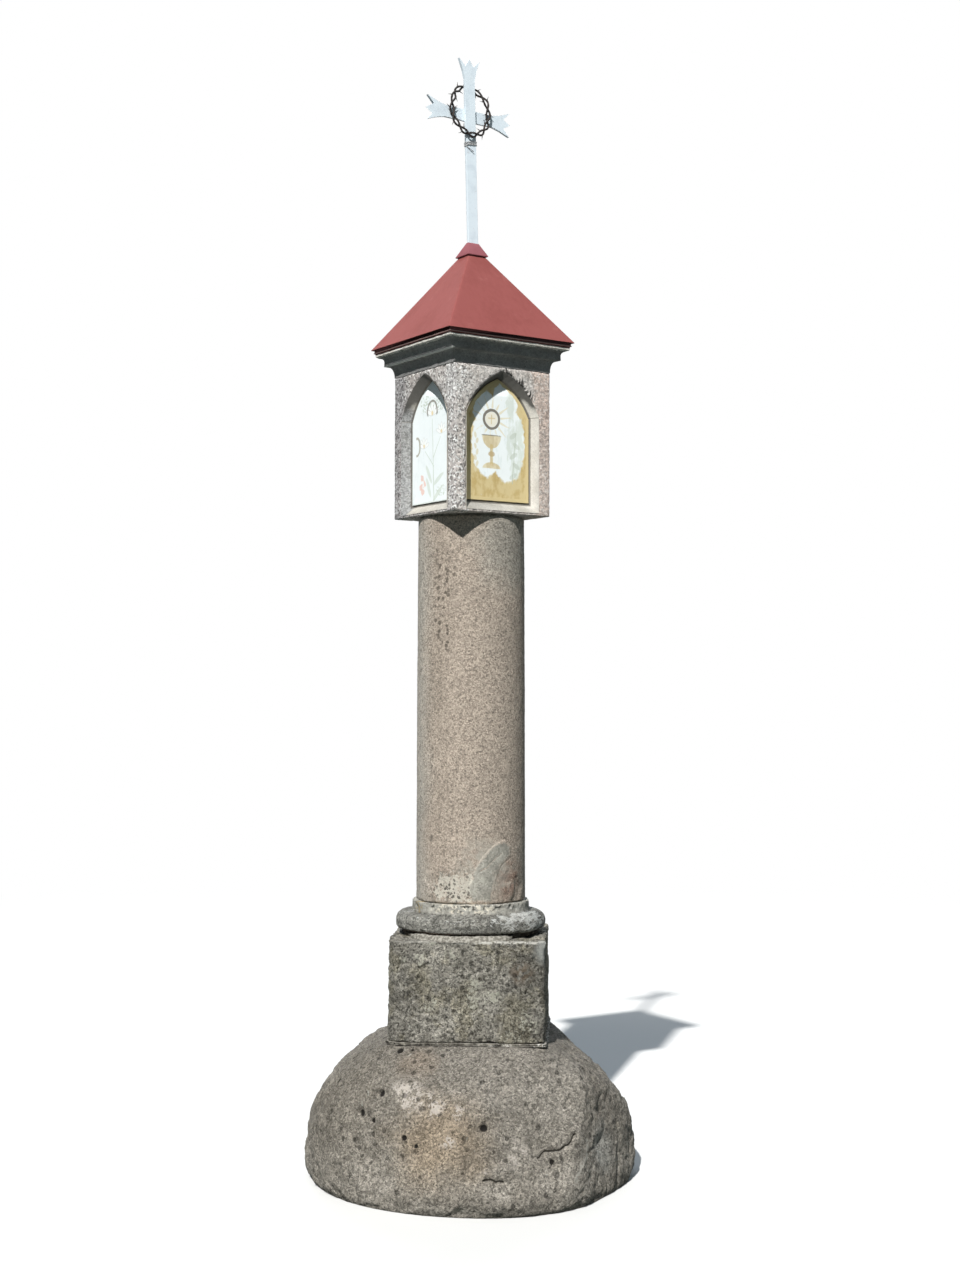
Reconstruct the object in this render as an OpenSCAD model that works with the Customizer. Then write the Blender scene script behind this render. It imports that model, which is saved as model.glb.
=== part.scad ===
// Wayside shrine: a stone column on a rough boulder carries a square head block with a pointed-arch
// niche and a picture on each side, a sheet-metal pyramid roof and an iron cross with a wire crown.
// Millimetres. The origin is on the ground under the column's axis, +Z is up, and the front is -Y.

/* [Base boulder] */
// Mean radius of the boulder at its widest
boulder_r = 556; // [480:2:680]
// Height of the seat on top of the boulder
boulder_h = 474; // [390:2:570]
// How far the seat spreads past the plinth
seat_spread = 8; // [8:1:60]

/* [Plinth] */
// Side of the square plinth block
plinth_w = 520; // [500:1:640]
// Height of the plinth block
plinth_h = 328; // [260:1:420]
// Turn of the plinth against the head, in degrees
plinth_turn = 37; // [0:1:45]
// Radius of its one heavily worn corner
plinth_worn_r = 62; // [30:1:90]
// Radius of its other corners
plinth_corner_r = 14; // [5:1:28]
// Thickness of the mortar bed under the plinth
bed_t = 8; // [4:0.5:20]
// Thickness of the recessed joint on top of the plinth
joint_t = 15; // [5:0.5:25]
// How far that joint lies back from the torus
joint_back = 22; // [10:1:40]

/* [Column] */
// Diameter of the shaft at its foot
shaft_d = 368; // [300:1:450]
// Loss of diameter from foot to top
shaft_taper = 8; // [2:1:30]
// Height of the shaft
shaft_h = 1283; // [900:1:1600]
// Height of the torus at the column's foot
torus_h = 57; // [45:1:80]
// How far the torus stands out past the shaft
torus_out = 68; // [45:1:90]
// Height of the collar above the torus
collar_h = 38; // [20:1:60]
// How far the collar stands out past the shaft
collar_out = 13; // [6:1:24]
// Depth of the mortar repair in the shaft's foot
patch_t = 12; // [6:1:30]
// Direction that the mortar repair faces, in degrees from the front towards the left
patch_turn = 13; // [0:1:90]

/* [Head block] */
// Side of the square head block
head_w = 384; // [376:1:470]
// Height of the head block
head_h = 488; // [486:1:600]
// Thickness of the mortar bed under the head block
head_bed_t = 5; // [3:0.5:15]

/* [Niches and pictures] */
// Width of a niche's opening in the face
niche_w = 290; // [240:1:300]
// Height of the pointed arch above its springing
arch_rise = 142; // [110:1:150]
// Radius of each side of the pointed arch at the face
arch_r = 268; // [220:1:400]
// Height of the arch's springing above the block's underside
spring_h = 332; // [250:1:334]
// Height of the opening's foot above the block's underside
foot_h = 11; // [6:1:30]
// Depth of the niche
niche_depth = 40; // [25:1:42]
// How far the reveals slope in towards the back
splay = 15; // [8:1:26]
// How far the sill slopes up towards the back
sill_rise = 31; // [10:1:45]
// Thickness of the render that lines the niche
render_t = 5; // [3:0.5:8]
// Thickness of the render at the edge of the opening
render_edge_t = 1.5; // [1:0.5:3]
// Thickness of a picture board
board_t = 6; // [3:0.5:10]
// Gap between a picture board and the niche around it
board_gap = 3; // [1:0.5:4]

/* [Cornice] */
// Height of the cornice
cornice_h = 84; // [72:1:110]
// How far its lower band stands out past the head block
band_out = 26; // [18:1:34]
// How far its top fillet stands out past the head block
fillet_out = 48; // [42:1:50]
// Height of its top fillet
fillet_h = 10; // [6:0.5:14]

/* [Roof] */
// How far the eaves stand out past the head block
eave_out = 60.5; // [56:0.5:90]
// Height of the eave edge above the cornice
eave_rise = 16; // [16:0.5:40]
// Pitch of the roof, in degrees
roof_pitch = 54.5; // [45:0.5:62]
// Thickness of the roof sheets
sheet_t = 2; // [1:0.5:3]
// Height of the fascia strip below the eave edge
fascia_h = 11; // [8:0.5:14]
// How far the fascia lies back from the eave edge
fascia_back = 10; // [4:0.5:10]
// Side of the roof where its top is cut off under the cap
roof_top_w = 56; // [50:1:60]
// Side of the cap over the top of the roof
cap_w = 81; // [76:1:110]
// How far the cap's lip stands out past the sheets under it
cap_overhang = 7; // [3:0.5:8]
// Height of the cap from its lip to its top
cap_h = 45; // [30:1:70]

/* [Cross] */
// Width of the flat iron bars
bar_w = 40; // [30:1:50]
// Thickness of the flat iron bars
bar_t = 10; // [6:0.5:14]
// Length of the post above the cap, to the tips of its prongs
post_rise = 634; // [520:1:780]
// Depth of the post's foot in the roof
post_foot = 130; // [60:1:200]
// Height of the arm's centre below the post's tips
arm_drop = 194; // [150:1:240]
// Span of the arm, tip to tip
arm_span = 338; // [300:1:460]
// Length of a flared end
flare_len = 72; // [50:1:90]
// Width of a flared end over its outer prongs
flare_w = 83; // [60:1:110]
// Depth of the notches between the prongs
notch_depth = 27; // [12:1:40]
// Lean of the post to the left, in degrees
cross_lean = 1.6; // [0:0.1:3]
// How far the arm is out of square with the post, its left end up, in degrees
arm_skew = 2.6; // [0:0.1:4]

/* [Crown] */
// Width of the crown's ring, through the middle of its strands
crown_w = 148; // [120:1:180]
// Height of the crown's ring, through the middle of its strands
crown_h = 170; // [140:1:200]
// How far the crown's middle lies above the arm's
crown_lift = 16; // [0:1:24]
// Diameter of the crown's twisted strands
strand_d = 7.6; // [4:0.2:8]
// How far each strand swings out of the ring
strand_swing = 7; // [4:0.5:9]
// Turns that the strands twist around the ring
twists = 6; // [5:1:12]
// Length of a thorn
thorn_len = 16; // [6:0.5:18]
// Diameter of the tie wire
tie_d = 2.6; // [1.6:0.2:4]
// Turns of the tie wire around the post
tie_turns = 4; // [2:1:6]
// Gap between the crown and the tie wire under it
tie_drop = 10.5; // [1:0.5:30]

/* [Hidden] */

// Turns that bring the front face's pieces to the other faces
FRONT = 0;
RIGHT = 90;
BACK = 180;
LEFT = 270;

// Heights of the stacked pieces
plinth_z = boulder_h + bed_t;
plinth_top = plinth_z + plinth_h;
base_z = plinth_top + joint_t;
collar_z = base_z + torus_h;
shaft_z = collar_z + collar_h;
shaft_top = shaft_z + shaft_h;
head_z = shaft_top + head_bed_t;
head_top = head_z + head_h;
cornice_top = head_top + cornice_h;
eave_z = cornice_top + eave_rise;
fascia_z = eave_z - fascia_h;

// Boulder: how late its dome falls away from the seat, and how full it is below
dome_power = 3.1;
dome_fullness = 0.92;
// How square its seat is, where 2 is round, and how square the dome is just under it
seat_power = 16;
shoulder_power = 5;
// Its sides tuck in by this share below this height
tuck = 0.04;
tuck_h = 60;
// Each wave in its plan is a count around the boulder, its share of the radius and its phase
dome_waves = [[2, 0.018, 120], [3, 0.012, 10], [5, 0.008, -25]];
// Each flat broken off its sides is the direction that it faces, its lean above level and its depth
dome_flats = [
    [5, 48, -16], [-22, 42, 6], [-62, 8, 32], [-105, 24, 22], [-150, 12, 24], [110, 20, 26],
    [60, 34, 0], [12, 10, 24]
];
dome_steps = 56;
// Heights of the rings, as shares of the seat's height, from below the ground cut
dome_rings = [-0.05, 0.04, 0.13, 0.24, 0.36, 0.48, 0.59, 0.69, 0.78, 0.86, 0.93, 0.975, 1];

// Column radii
shaft_r = shaft_d / 2;
shaft_top_r = shaft_r - shaft_taper / 2;
collar_r = shaft_r + collar_out;
torus_r = shaft_r + torus_out;
// The torus is rounded less below than above, and its upper side ends in a shoulder
torus_low_r = 15;
torus_high_r = 30;
torus_shoulder = 6;
head_bed_back = 6;
// Outline of the mortar repair: across from its middle, and up from the shaft's foot
patch_outline = [
    [-70, 0], [10, 0], [24, 74], [44, 124], [84, 150], [84, 190],
    [52, 216], [12, 200], [-16, 174], [-44, 142], [-60, 108], [-72, 58]
];

// Head block and arch
head_half = head_w / 2;
// Each side of the arch is part of a circle, whose middle lies beyond the niche's middle line and below
// the springing
arch_chord = norm([niche_w / 2, arch_rise]);
arch_reach = sqrt(arch_r * arch_r - arch_chord * arch_chord / 4);
arch_side = arch_rise * arch_reach / arch_chord - niche_w / 4;
arch_drop = niche_w / 2 * arch_reach / arch_chord - arch_rise / 2;
arch_steps = 9;
// Cuts into the face are drawn this far past it
past = 10;

// Cornice: its hollow under the band, the small hollow under the top fillet, and worn edges
hollow_h = 39;
hollow_out = 14;
small_hollow_h = 15;
small_hollow_out = 12;
band_edge = 2;
fillet_edge = 3;
fillet_half = head_half + fillet_out;

// Roof: halves of its sides, and how far its sheets and skirt lie apart on the level
eave_half = head_half + eave_out;
roof_top_half = roof_top_w / 2;
roof_top_z = eave_z + (eave_half - roof_top_half) * tan(roof_pitch);
sheet_level = sheet_t / sin(roof_pitch);
fascia_half = eave_half - fascia_back;
fascia_roll_r = 2;
cap_half = cap_w / 2;
cap_lip_h = 3;
cap_fit = 0.3;
cap_z = roof_top_z - (cap_half - cap_overhang - roof_top_half) * tan(roof_pitch) + cap_lip_h;
cap_top_z = cap_z + cap_h;
cap_top_margin = 1;

// Cross
post_top = cap_top_z + post_rise;
post_z = roof_top_z - post_foot;
arm_z = post_top - arm_drop;
post_fit = 0.3;
// A flare's sides bow out by this, this far from its tip; then its notches' and outer prongs' places
flare_bow = 7;
flare_bow_at = 42;
notch_at = 16;
prong_back = 2;

// Crown: how high and low on its ring, as sines, it starts to pass behind and before the post
rise_from = 0.42;
rise_over = 0.5;
drop_from = 0.2;
drop_over = 0.72;
strand_r = strand_d / 2;
strand_depth = strand_r + 0.2;
crown_half_t = strand_depth + strand_r;
crown_fit = 0.4;
crown_z = arm_z + crown_lift;
crown_steps = 72;
strand_sides = 6;
thorn_r = 1.9;
thorn_tip_r = 0.3;
thorn_lean = 35;
// Thorns this near to the lowest point of the ring would foul the tie
tie_zone = 16;
tie_r = tie_d / 2;
tie_fit = 0.3;
tie_pitch = tie_d + 1;
tie_bend = 1.2;
tie_tail = 20;

function total(list, i = 0) = i < len(list) ? list[i] + total(list, i + 1) : 0;
function ease(u) = let (v = min(1, max(0, u))) v * v * (3 - 2 * v);
function arc(cx, cy, r, a0, a1, steps) =
    [for (i = [0:steps]) let (a = a0 + (a1 - a0) * i / steps) [cx + r * cos(a), cy + r * sin(a)]];
function square_ring(half, z) = [[-half, -half, z], [half, -half, z], [half, half, z], [-half, half, z]];

// Skin over a stack of rings that run anticlockwise seen from above; a closed one has no ends
module loft(rings, closed = false) {
    n = len(rings[0]);
    m = len(rings);
    spans = closed ? m : m - 1;
    sides = [
        for (k = [0:spans - 1], i = [0:n - 1])
            let (a = k * n, b = ((k + 1) % m) * n, j = (i + 1) % n)
                each [[a + i, b + i, b + j], [a + i, b + j, a + j]]
    ];
    foot = [for (i = [0:n - 1]) i];
    top = [for (i = [n - 1:-1:0]) (m - 1) * n + i];
    polyhedron([for (r = rings, p = r) p], closed ? sides : concat(sides, [foot, top]));
}

// What lies within a quarter turn of the front, for pieces mitred on the head's diagonals
module front_quarter() {
    reach = 2 * eave_half;
    translate([0, 0, head_z])
        linear_extrude(post_top - head_z)
            polygon([[0, 0], [-reach, -reach], [reach, -reach]]);
}

// Radius of a shape of half width 1 that is round at a power of 2 and squarer above it
function squareness(a, power) = 1 / pow(pow(abs(cos(a)), power) + pow(abs(sin(a)), power), 1 / power);

// Radius of the boulder in one direction, at one share of its seat's height, never inside the seat
function dome_radius(a, share) =
    let (
        z = boulder_h * share,
        up = max(0, share),
        seat_half = plinth_w / 2 + seat_spread,
        wave = 1 + total([for (w = dome_waves) w[1] * cos(w[0] * (a - w[2]))]) * (1 - up),
        bulge = pow(1 - pow(up, dome_power), dome_fullness),
        square = squareness(a + plinth_turn, 2 + (shoulder_power - 2) * pow(up, 4)),
        foot = z < tuck_h ? 1 - tuck * pow(1 - z / tuck_h, 2) : 1,
        full_r = (seat_half + (boulder_r - seat_half) * bulge) * wave * square * foot,
        flats = [
            for (f = dome_flats)
                let (facing = cos(a - f[0]) * cos(f[1]))
                    facing > 0.3 ? (boulder_r - f[2] - z * sin(f[1])) / facing : full_r
        ]
    )
    max(seat_half * squareness(a + plinth_turn, seat_power), min(full_r, min(flats)));

// Rough domed stone with a level foot and a level seat
module base_boulder() {
    color("#8a8275")
        difference() {
            loft([
                for (share = dome_rings)
                    [for (i = [0:dome_steps - 1])
                        let (a = 45 - plinth_turn + 360 * i / dome_steps, r = dome_radius(a, share))
                            [r * cos(a), r * sin(a), boulder_h * share]]
            ]);
            translate([-boulder_r * 1.5, -boulder_r * 1.5, -boulder_h])
                cube([boulder_r * 3, boulder_r * 3, boulder_h]);
        }
}

// Square outline with one corner more worn than the others
module plinth_outline(extra = 0) {
    h = plinth_w / 2 + extra;
    worn = plinth_worn_r + extra;
    r = plinth_corner_r + extra;
    polygon(concat(
        arc(-h + worn, -h + worn, worn, 180, 270, 12),
        arc(h - r, -h + r, r, 270, 360, 5),
        arc(h - r, h - r, r, 0, 90, 5),
        arc(-h + r, h - r, r, 90, 180, 5)
    ));
}

module bedding_mortar() {
    spread = 7;
    color("#b5ada0")
        translate([0, 0, boulder_h])
            rotate([0, 0, -plinth_turn])
                linear_extrude(bed_t)
                    plinth_outline(spread);
}

module plinth_block() {
    color("#8d877d")
        translate([0, 0, plinth_z])
            rotate([0, 0, -plinth_turn])
                linear_extrude(plinth_h)
                    plinth_outline();
}

module plinth_joint() {
    color("#4d4840")
        translate([0, 0, plinth_top])
            cylinder(h = joint_t, r = torus_r - joint_back, $fn = 96);
}

// Turned base: a torus, full below and rounder above, under a collar
module column_base() {
    color("#948c80")
        rotate_extrude($fn = 96)
            polygon(concat(
                [[0, base_z]],
                arc(torus_r - torus_low_r, base_z + torus_low_r, torus_low_r, -90, 0, 5),
                arc(torus_r - torus_high_r, collar_z - torus_high_r, torus_high_r, 0, 90, 8),
                [[torus_r - torus_high_r - torus_shoulder, collar_z]],
                [[collar_r, collar_z], [collar_r, shaft_z], [0, shaft_z]]
            ));
}

// Half outline of the shaft, which loses its taper slowly at first and then faster
function shaft_outline(shrink = 0) = concat(
    [[0, shaft_z]],
    [for (i = [0:8])
        let (u = i / 8)
            [shaft_r - (shaft_r - shaft_top_r) * u * u - shrink, shaft_z + shaft_h * u]],
    [[0, shaft_top]]
);

// The block of space that the mortar repair takes out of the shaft
module patch_space() {
    rotate([0, 0, -patch_turn])
        translate([0, 0, shaft_z])
            rotate([90, 0, 0])
                linear_extrude(shaft_r * 2)
                    polygon(patch_outline);
}

module shaft() {
    color("#a8998a")
        difference() {
            rotate_extrude($fn = 128)
                polygon(shaft_outline());
            difference() {
                patch_space();
                rotate_extrude($fn = 128)
                    polygon(shaft_outline(patch_t));
            }
        }
}

module shaft_patch() {
    color("#9a978d")
        intersection() {
            patch_space();
            difference() {
                rotate_extrude($fn = 128)
                    polygon(shaft_outline());
                rotate_extrude($fn = 128)
                    polygon(shaft_outline(patch_t));
            }
        }
}

module head_joint() {
    color("#8f877b")
        translate([0, 0, shaft_top])
            cylinder(h = head_bed_t, r = shaft_top_r - head_bed_back, $fn = 96);
}

// Pointed arch seen from the front, set in from the opening by one amount at its sides, another at its foot
function arch_outline(inset, foot_inset) =
    let (
        r = arch_r - inset,
        half = niche_w / 2 - inset,
        low = acos((half + arch_side) / r),
        peak = acos(arch_side / r),
        middle = spring_h - arch_drop,
        foot = foot_h + foot_inset
    )
    concat(
        [[-half, foot], [half, foot]],
        arc(-arch_side, middle, r, low, peak, arch_steps),
        [for (i = [arch_steps - 1:-1:0])
            let (a = low + (peak - low) * i / arch_steps)
                [arch_side - r * cos(a), middle + r * sin(a)]]
    );

// The same outline in space, at a depth behind the front face
function arch_ring(inset, foot_inset, depth) =
    [for (p = arch_outline(inset, foot_inset)) [p[0], p[1], -depth]];

// Stands what is drawn lying on its back up against the front face, then turns it to its own face
module on_face(turn) {
    rotate([0, 0, turn])
        translate([0, -head_half, head_z])
            rotate([90, 0, 0])
                children();
}

// Hollow of the finished niche, drawn past the face so that it cuts clean
module niche_hollow() {
    out = splay * past / niche_depth;
    foot_out = sill_rise * past / niche_depth;
    loft([
        arch_ring(splay, sill_rise, niche_depth),
        arch_ring(-out, -foot_out, -past)
    ]);
}

// Hollow in the stone, larger than the finished niche by the render on it
module niche_rough() {
    full = niche_depth + render_t;
    growth = (splay - render_t + render_edge_t) / full;
    foot_growth = (sill_rise - render_t + render_edge_t) / full;
    loft([
        arch_ring(splay - render_t, sill_rise - render_t, full),
        arch_ring(-render_edge_t - growth * past, -render_edge_t - foot_growth * past, -past)
    ]);
}

module head_block() {
    color("#b0a196")
        difference() {
            translate([-head_half, -head_half, head_z])
                cube([head_w, head_w, head_h]);
            for (turn = [FRONT, RIGHT, BACK, LEFT])
                on_face(turn)
                    niche_rough();
        }
}

// Render on the reveals, sill and back of one niche
module niche_render(turn) {
    color("#c9bfae")
        on_face(turn)
            difference() {
                intersection() {
                    niche_rough();
                    translate([-head_half, 0, -head_half])
                        cube([head_w, head_h, head_half]);
                }
                niche_hollow();
            }
}

// Painted board on the back of one niche
module picture(turn) {
    color("#dfe6dc")
        on_face(turn)
            translate([0, 0, -niche_depth])
                linear_extrude(board_t)
                    polygon(arch_outline(splay + board_gap, sill_rise + board_gap));
}

// Half outline of the cornice: hollow, lower band, small hollow and top fillet
function cornice_outline() =
    let (
        band = head_half + band_out,
        fillet_z = cornice_top - fillet_h,
        small_z = fillet_z - small_hollow_h
    )
    concat(
        [[head_half, head_top]],
        [for (i = [1:5])
            let (a = 90 * i / 5)
                [head_half + hollow_out * (1 - cos(a)), head_top + hollow_h * sin(a)]],
        [[band, head_top + hollow_h + band_edge], [band, small_z]],
        [for (i = [1:3])
            let (a = 90 * i / 3)
                [band + small_hollow_out * (1 - cos(a)), small_z + small_hollow_h * 0.75 * sin(a)]],
        [[fillet_half - fillet_edge, fillet_z], [fillet_half, fillet_z + fillet_edge]],
        [[fillet_half, cornice_top]]
    );

// The cornice's whole section, from side to side
module cornice_section() {
    half = cornice_outline();
    other = [for (i = [len(half) - 1:-1:0]) [-half[i][0], half[i][1]]];
    polygon(concat(half, other));
}

module cornice() {
    reach = 2 * eave_half;
    color("#8b8074")
        intersection_for(turn = [0, 90])
            rotate([90, 0, turn])
                translate([0, 0, -reach / 2])
                    linear_extrude(reach)
                        cornice_section();
}

// Leans what stands on the roof, about the middle of the cap's top
module leaning() {
    translate([0, 0, cap_top_z])
        rotate([0, -cross_lean, 0])
            translate([0, 0, -cap_top_z])
                children();
}

// Socket in the roof for the foot of the cross's post
module post_socket() {
    leaning()
        translate([-bar_w / 2 - post_fit, -bar_t - post_fit, post_z])
            cube([bar_w + 2 * post_fit, bar_t + 2 * post_fit, post_foot * 2]);
}

// Masonry core that the roof sheets lie on, with a soffit that slopes out from the cornice to the eaves
module roof_core() {
    trim_half = fascia_half - sheet_t;
    knee_z = eave_z + (eave_half - sheet_level - trim_half) * tan(roof_pitch);
    color("#6d3f3a")
        difference() {
            loft([
                square_ring(fillet_half, cornice_top),
                square_ring(trim_half, fascia_z),
                square_ring(trim_half, knee_z),
                square_ring(roof_top_half - sheet_level, roof_top_z)
            ]);
            post_socket();
        }
}

// One of four sheets, mitred at the hips
module roof_sheet(turn) {
    a = eave_half;
    b = eave_half - sheet_level;
    c = roof_top_half;
    d = roof_top_half - sheet_level;
    color("#a34f48")
        rotate([0, 0, turn])
            loft([
                [[-a, -a, eave_z], [a, -a, eave_z], [b, -b, eave_z], [-b, -b, eave_z]],
                [[-c, -c, roof_top_z], [c, -c, roof_top_z], [d, -d, roof_top_z], [-d, -d, roof_top_z]]
            ]);
}

// Fascia strip under one eave, with a rolled lower edge, mitred at the corners
module eave_trim(turn) {
    slope = tan(roof_pitch);
    outer_top = eave_z + (eave_half - sheet_level - fascia_half) * slope;
    color("#7f3330")
        rotate([0, 0, turn])
            intersection() {
                front_quarter();
                rotate([90, 0, 90])
                    translate([0, 0, -eave_half])
                        linear_extrude(2 * eave_half)
                            union() {
                                polygon([
                                    [-fascia_half, fascia_z], [-fascia_half + sheet_t, fascia_z],
                                    [-fascia_half + sheet_t, outer_top + sheet_t * slope],
                                    [-fascia_half, outer_top]
                                ]);
                                translate([-fascia_half, fascia_z])
                                    circle(r = fascia_roll_r, $fn = 24);
                            }
            }
}

// Cap with a short skirt over the top of the sheets, closing on the post
module roof_cap() {
    slope = tan(roof_pitch);
    top_x = bar_w / 2 + post_fit + cap_top_margin;
    top_y = bar_t + post_fit + cap_top_margin;
    color("#9d4a43")
        difference() {
            loft([
                square_ring(cap_half, cap_z - cap_lip_h),
                square_ring(cap_half, cap_z),
                [[-top_x, -top_y, cap_top_z], [top_x, -top_y, cap_top_z],
                 [top_x, top_y - bar_t, cap_top_z], [-top_x, top_y - bar_t, cap_top_z]]
            ]);
            intersection() {
                loft([
                    square_ring(roof_top_half + cap_fit + past + (roof_top_z - cap_z) / slope,
                                cap_z - past * slope),
                    square_ring(roof_top_half + cap_fit, roof_top_z)
                ]);
                translate([-cap_w, -cap_w, 0])
                    cube([2 * cap_w, 2 * cap_w, roof_top_z]);
            }
            post_socket();
        }
}

// Half outline of a flared end with three prongs: across from the bar's middle, and back from the tip
function prong_side() = [
    [bar_w / 2, -flare_len], [bar_w / 2 + flare_bow, -flare_bow_at], [flare_w / 2, -prong_back],
    [notch_at, -notch_depth], [0, 0]
];

// Outline of a bar with its end at the origin and its prongs pointing up
module bar_outline(length, both_ends = false) {
    side = prong_side();
    mirrored = [for (i = [len(side) - 2:-1:0]) [-side[i][0], side[i][1]]];
    foot = [[-bar_w / 2, -length], [bar_w / 2, -length]];
    polygon(concat(both_ends ? [] : foot, side, mirrored,
        both_ends ? [for (p = concat(side, mirrored)) [-p[0], -length - p[1]]] : []));
}

// Upright bar, in front of the arm
module cross_post() {
    color("#eef0ee")
        leaning()
            translate([0, 0, post_top])
                rotate([90, 0, 0])
                    linear_extrude(bar_t)
                        bar_outline(post_top - post_z);
}

// Cross bar, on the back of the post
module cross_arm() {
    color("#eef0ee")
        leaning()
            translate([0, bar_t, arm_z])
                rotate([90, arm_skew, 0])
                    linear_extrude(bar_t)
                        rotate([0, 0, -90])
                            translate([0, arm_span / 2])
                                bar_outline(arm_span, true);
}

// How far forward or back the crown runs: behind the post at its top, before the arms and the post's foot
function crown_y(t) =
    let (
        side = -crown_half_t - crown_fit,
        up = ease((sin(t) - rise_from) / rise_over),
        down = ease((-sin(t) - drop_from) / drop_over)
    )
    side + up * 2 * (crown_half_t + crown_fit) - down * bar_t;

// A point off the ring's centre line: outwards from the ring, and forward or back
function crown_point(t, out, across) =
    [(crown_w / 2 + out) * cos(t), crown_y(t) + across, crown_z + (crown_h / 2 + out) * sin(t)];

// Ring of points around one strand
function strand_ring(t, phase) =
    let (
        turn = twists * t + phase,
        out = strand_swing * cos(turn),
        across = strand_depth * sin(turn)
    )
    [for (i = [0:strand_sides - 1])
        let (a = 360 * i / strand_sides)
            crown_point(t, out + strand_r * cos(a), across + strand_r * sin(a))];

module crown_strand(phase) {
    color("#3b302a")
        leaning()
            loft([for (i = [0:crown_steps - 1]) strand_ring(360 * i / crown_steps, phase)], true);
}

// Thorns where a strand swings furthest out and furthest in
module crown_thorns() {
    swings = 2 * twists;
    reach = strand_swing + strand_r + 0.3;
    color("#3b302a")
        leaning()
            for (i = [0:swings - 1]) {
                t = 360 * i / swings;
                lean = i % 2 == 0 ? thorn_lean : -thorn_lean;
                if (abs(t - 270) > tie_zone)
                    for (side = [1, -1])
                        translate(crown_point(t, side * reach, 0))
                            rotate([0, -t, 0])
                                rotate([0, side * 90 + lean, 0])
                                    cylinder(h = thorn_len, r1 = thorn_r, r2 = thorn_tip_r, $fn = 16);
            }
}

// Corners of one turn of the tie wire around the post, from the front left one, each bend cut in two
function tie_corners() =
    let (
        gap = tie_r + tie_fit,
        x = bar_w / 2 + gap,
        y = bar_t / 2 + gap,
        c = tie_bend
    )
    [[c - x, -y], [x - c, -y], [x, c - y], [x, y - c], [x - c, y], [c - x, y], [-x, y - c], [-x, c - y]];

// Ring of points around the tie wire, in a plane that holds the upright and faces one way on the level
function tie_ring(centre, facing) =
    [for (i = [0:strand_sides - 1])
        let (b = -360 * i / strand_sides)
            centre + tie_r * [cos(b) * cos(facing), cos(b) * sin(facing), sin(b)]];

// Tie wire wound down the post under the crown, with its tail left hanging across the front
module crown_tie() {
    corners = tie_corners();
    bends = len(corners);
    last = bends * tie_turns;
    top = crown_z - crown_h / 2 - strand_swing - strand_r - tie_r - tie_drop;
    bottom = top - tie_pitch * tie_turns;
    color("#77787a")
        leaning()
            translate([0, -bar_t / 2, 0])
                loft(concat(
                    [for (k = [0:last])
                        let (c = corners[k % bends])
                            tie_ring([c[0], c[1], top - tie_pitch * k / bends], 247.5 + 45 * k)],
                    [tie_ring([bar_w / 6, corners[0][1] - tie_d, bottom - tie_tail], 270)]
                ));
}

base_boulder();
bedding_mortar();
plinth_block();
plinth_joint();
column_base();
shaft();
shaft_patch();
head_joint();
head_block();
niche_render(FRONT);  // niche_render_front
niche_render(RIGHT);  // niche_render_right
niche_render(BACK);  // niche_render_back
niche_render(LEFT);  // niche_render_left
picture(FRONT);  // picture_front
picture(RIGHT);  // picture_right
picture(BACK);  // picture_back
picture(LEFT);  // picture_left
cornice();
roof_core();
roof_sheet(FRONT);  // roof_sheet_front
roof_sheet(RIGHT);  // roof_sheet_right
roof_sheet(BACK);  // roof_sheet_back
roof_sheet(LEFT);  // roof_sheet_left
eave_trim(FRONT);  // eave_trim_front
eave_trim(RIGHT);  // eave_trim_right
eave_trim(BACK);  // eave_trim_back
eave_trim(LEFT);  // eave_trim_left
roof_cap();
cross_post();
cross_arm();
crown_strand(0);  // crown_strand_a
crown_strand(180);  // crown_strand_b
crown_thorns();
crown_tie();
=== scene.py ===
from functools import reduce
from math import cos, sin, pi, radians, hypot

import bmesh
import bpy
from mathutils import Matrix, Vector, kdtree, noise


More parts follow.
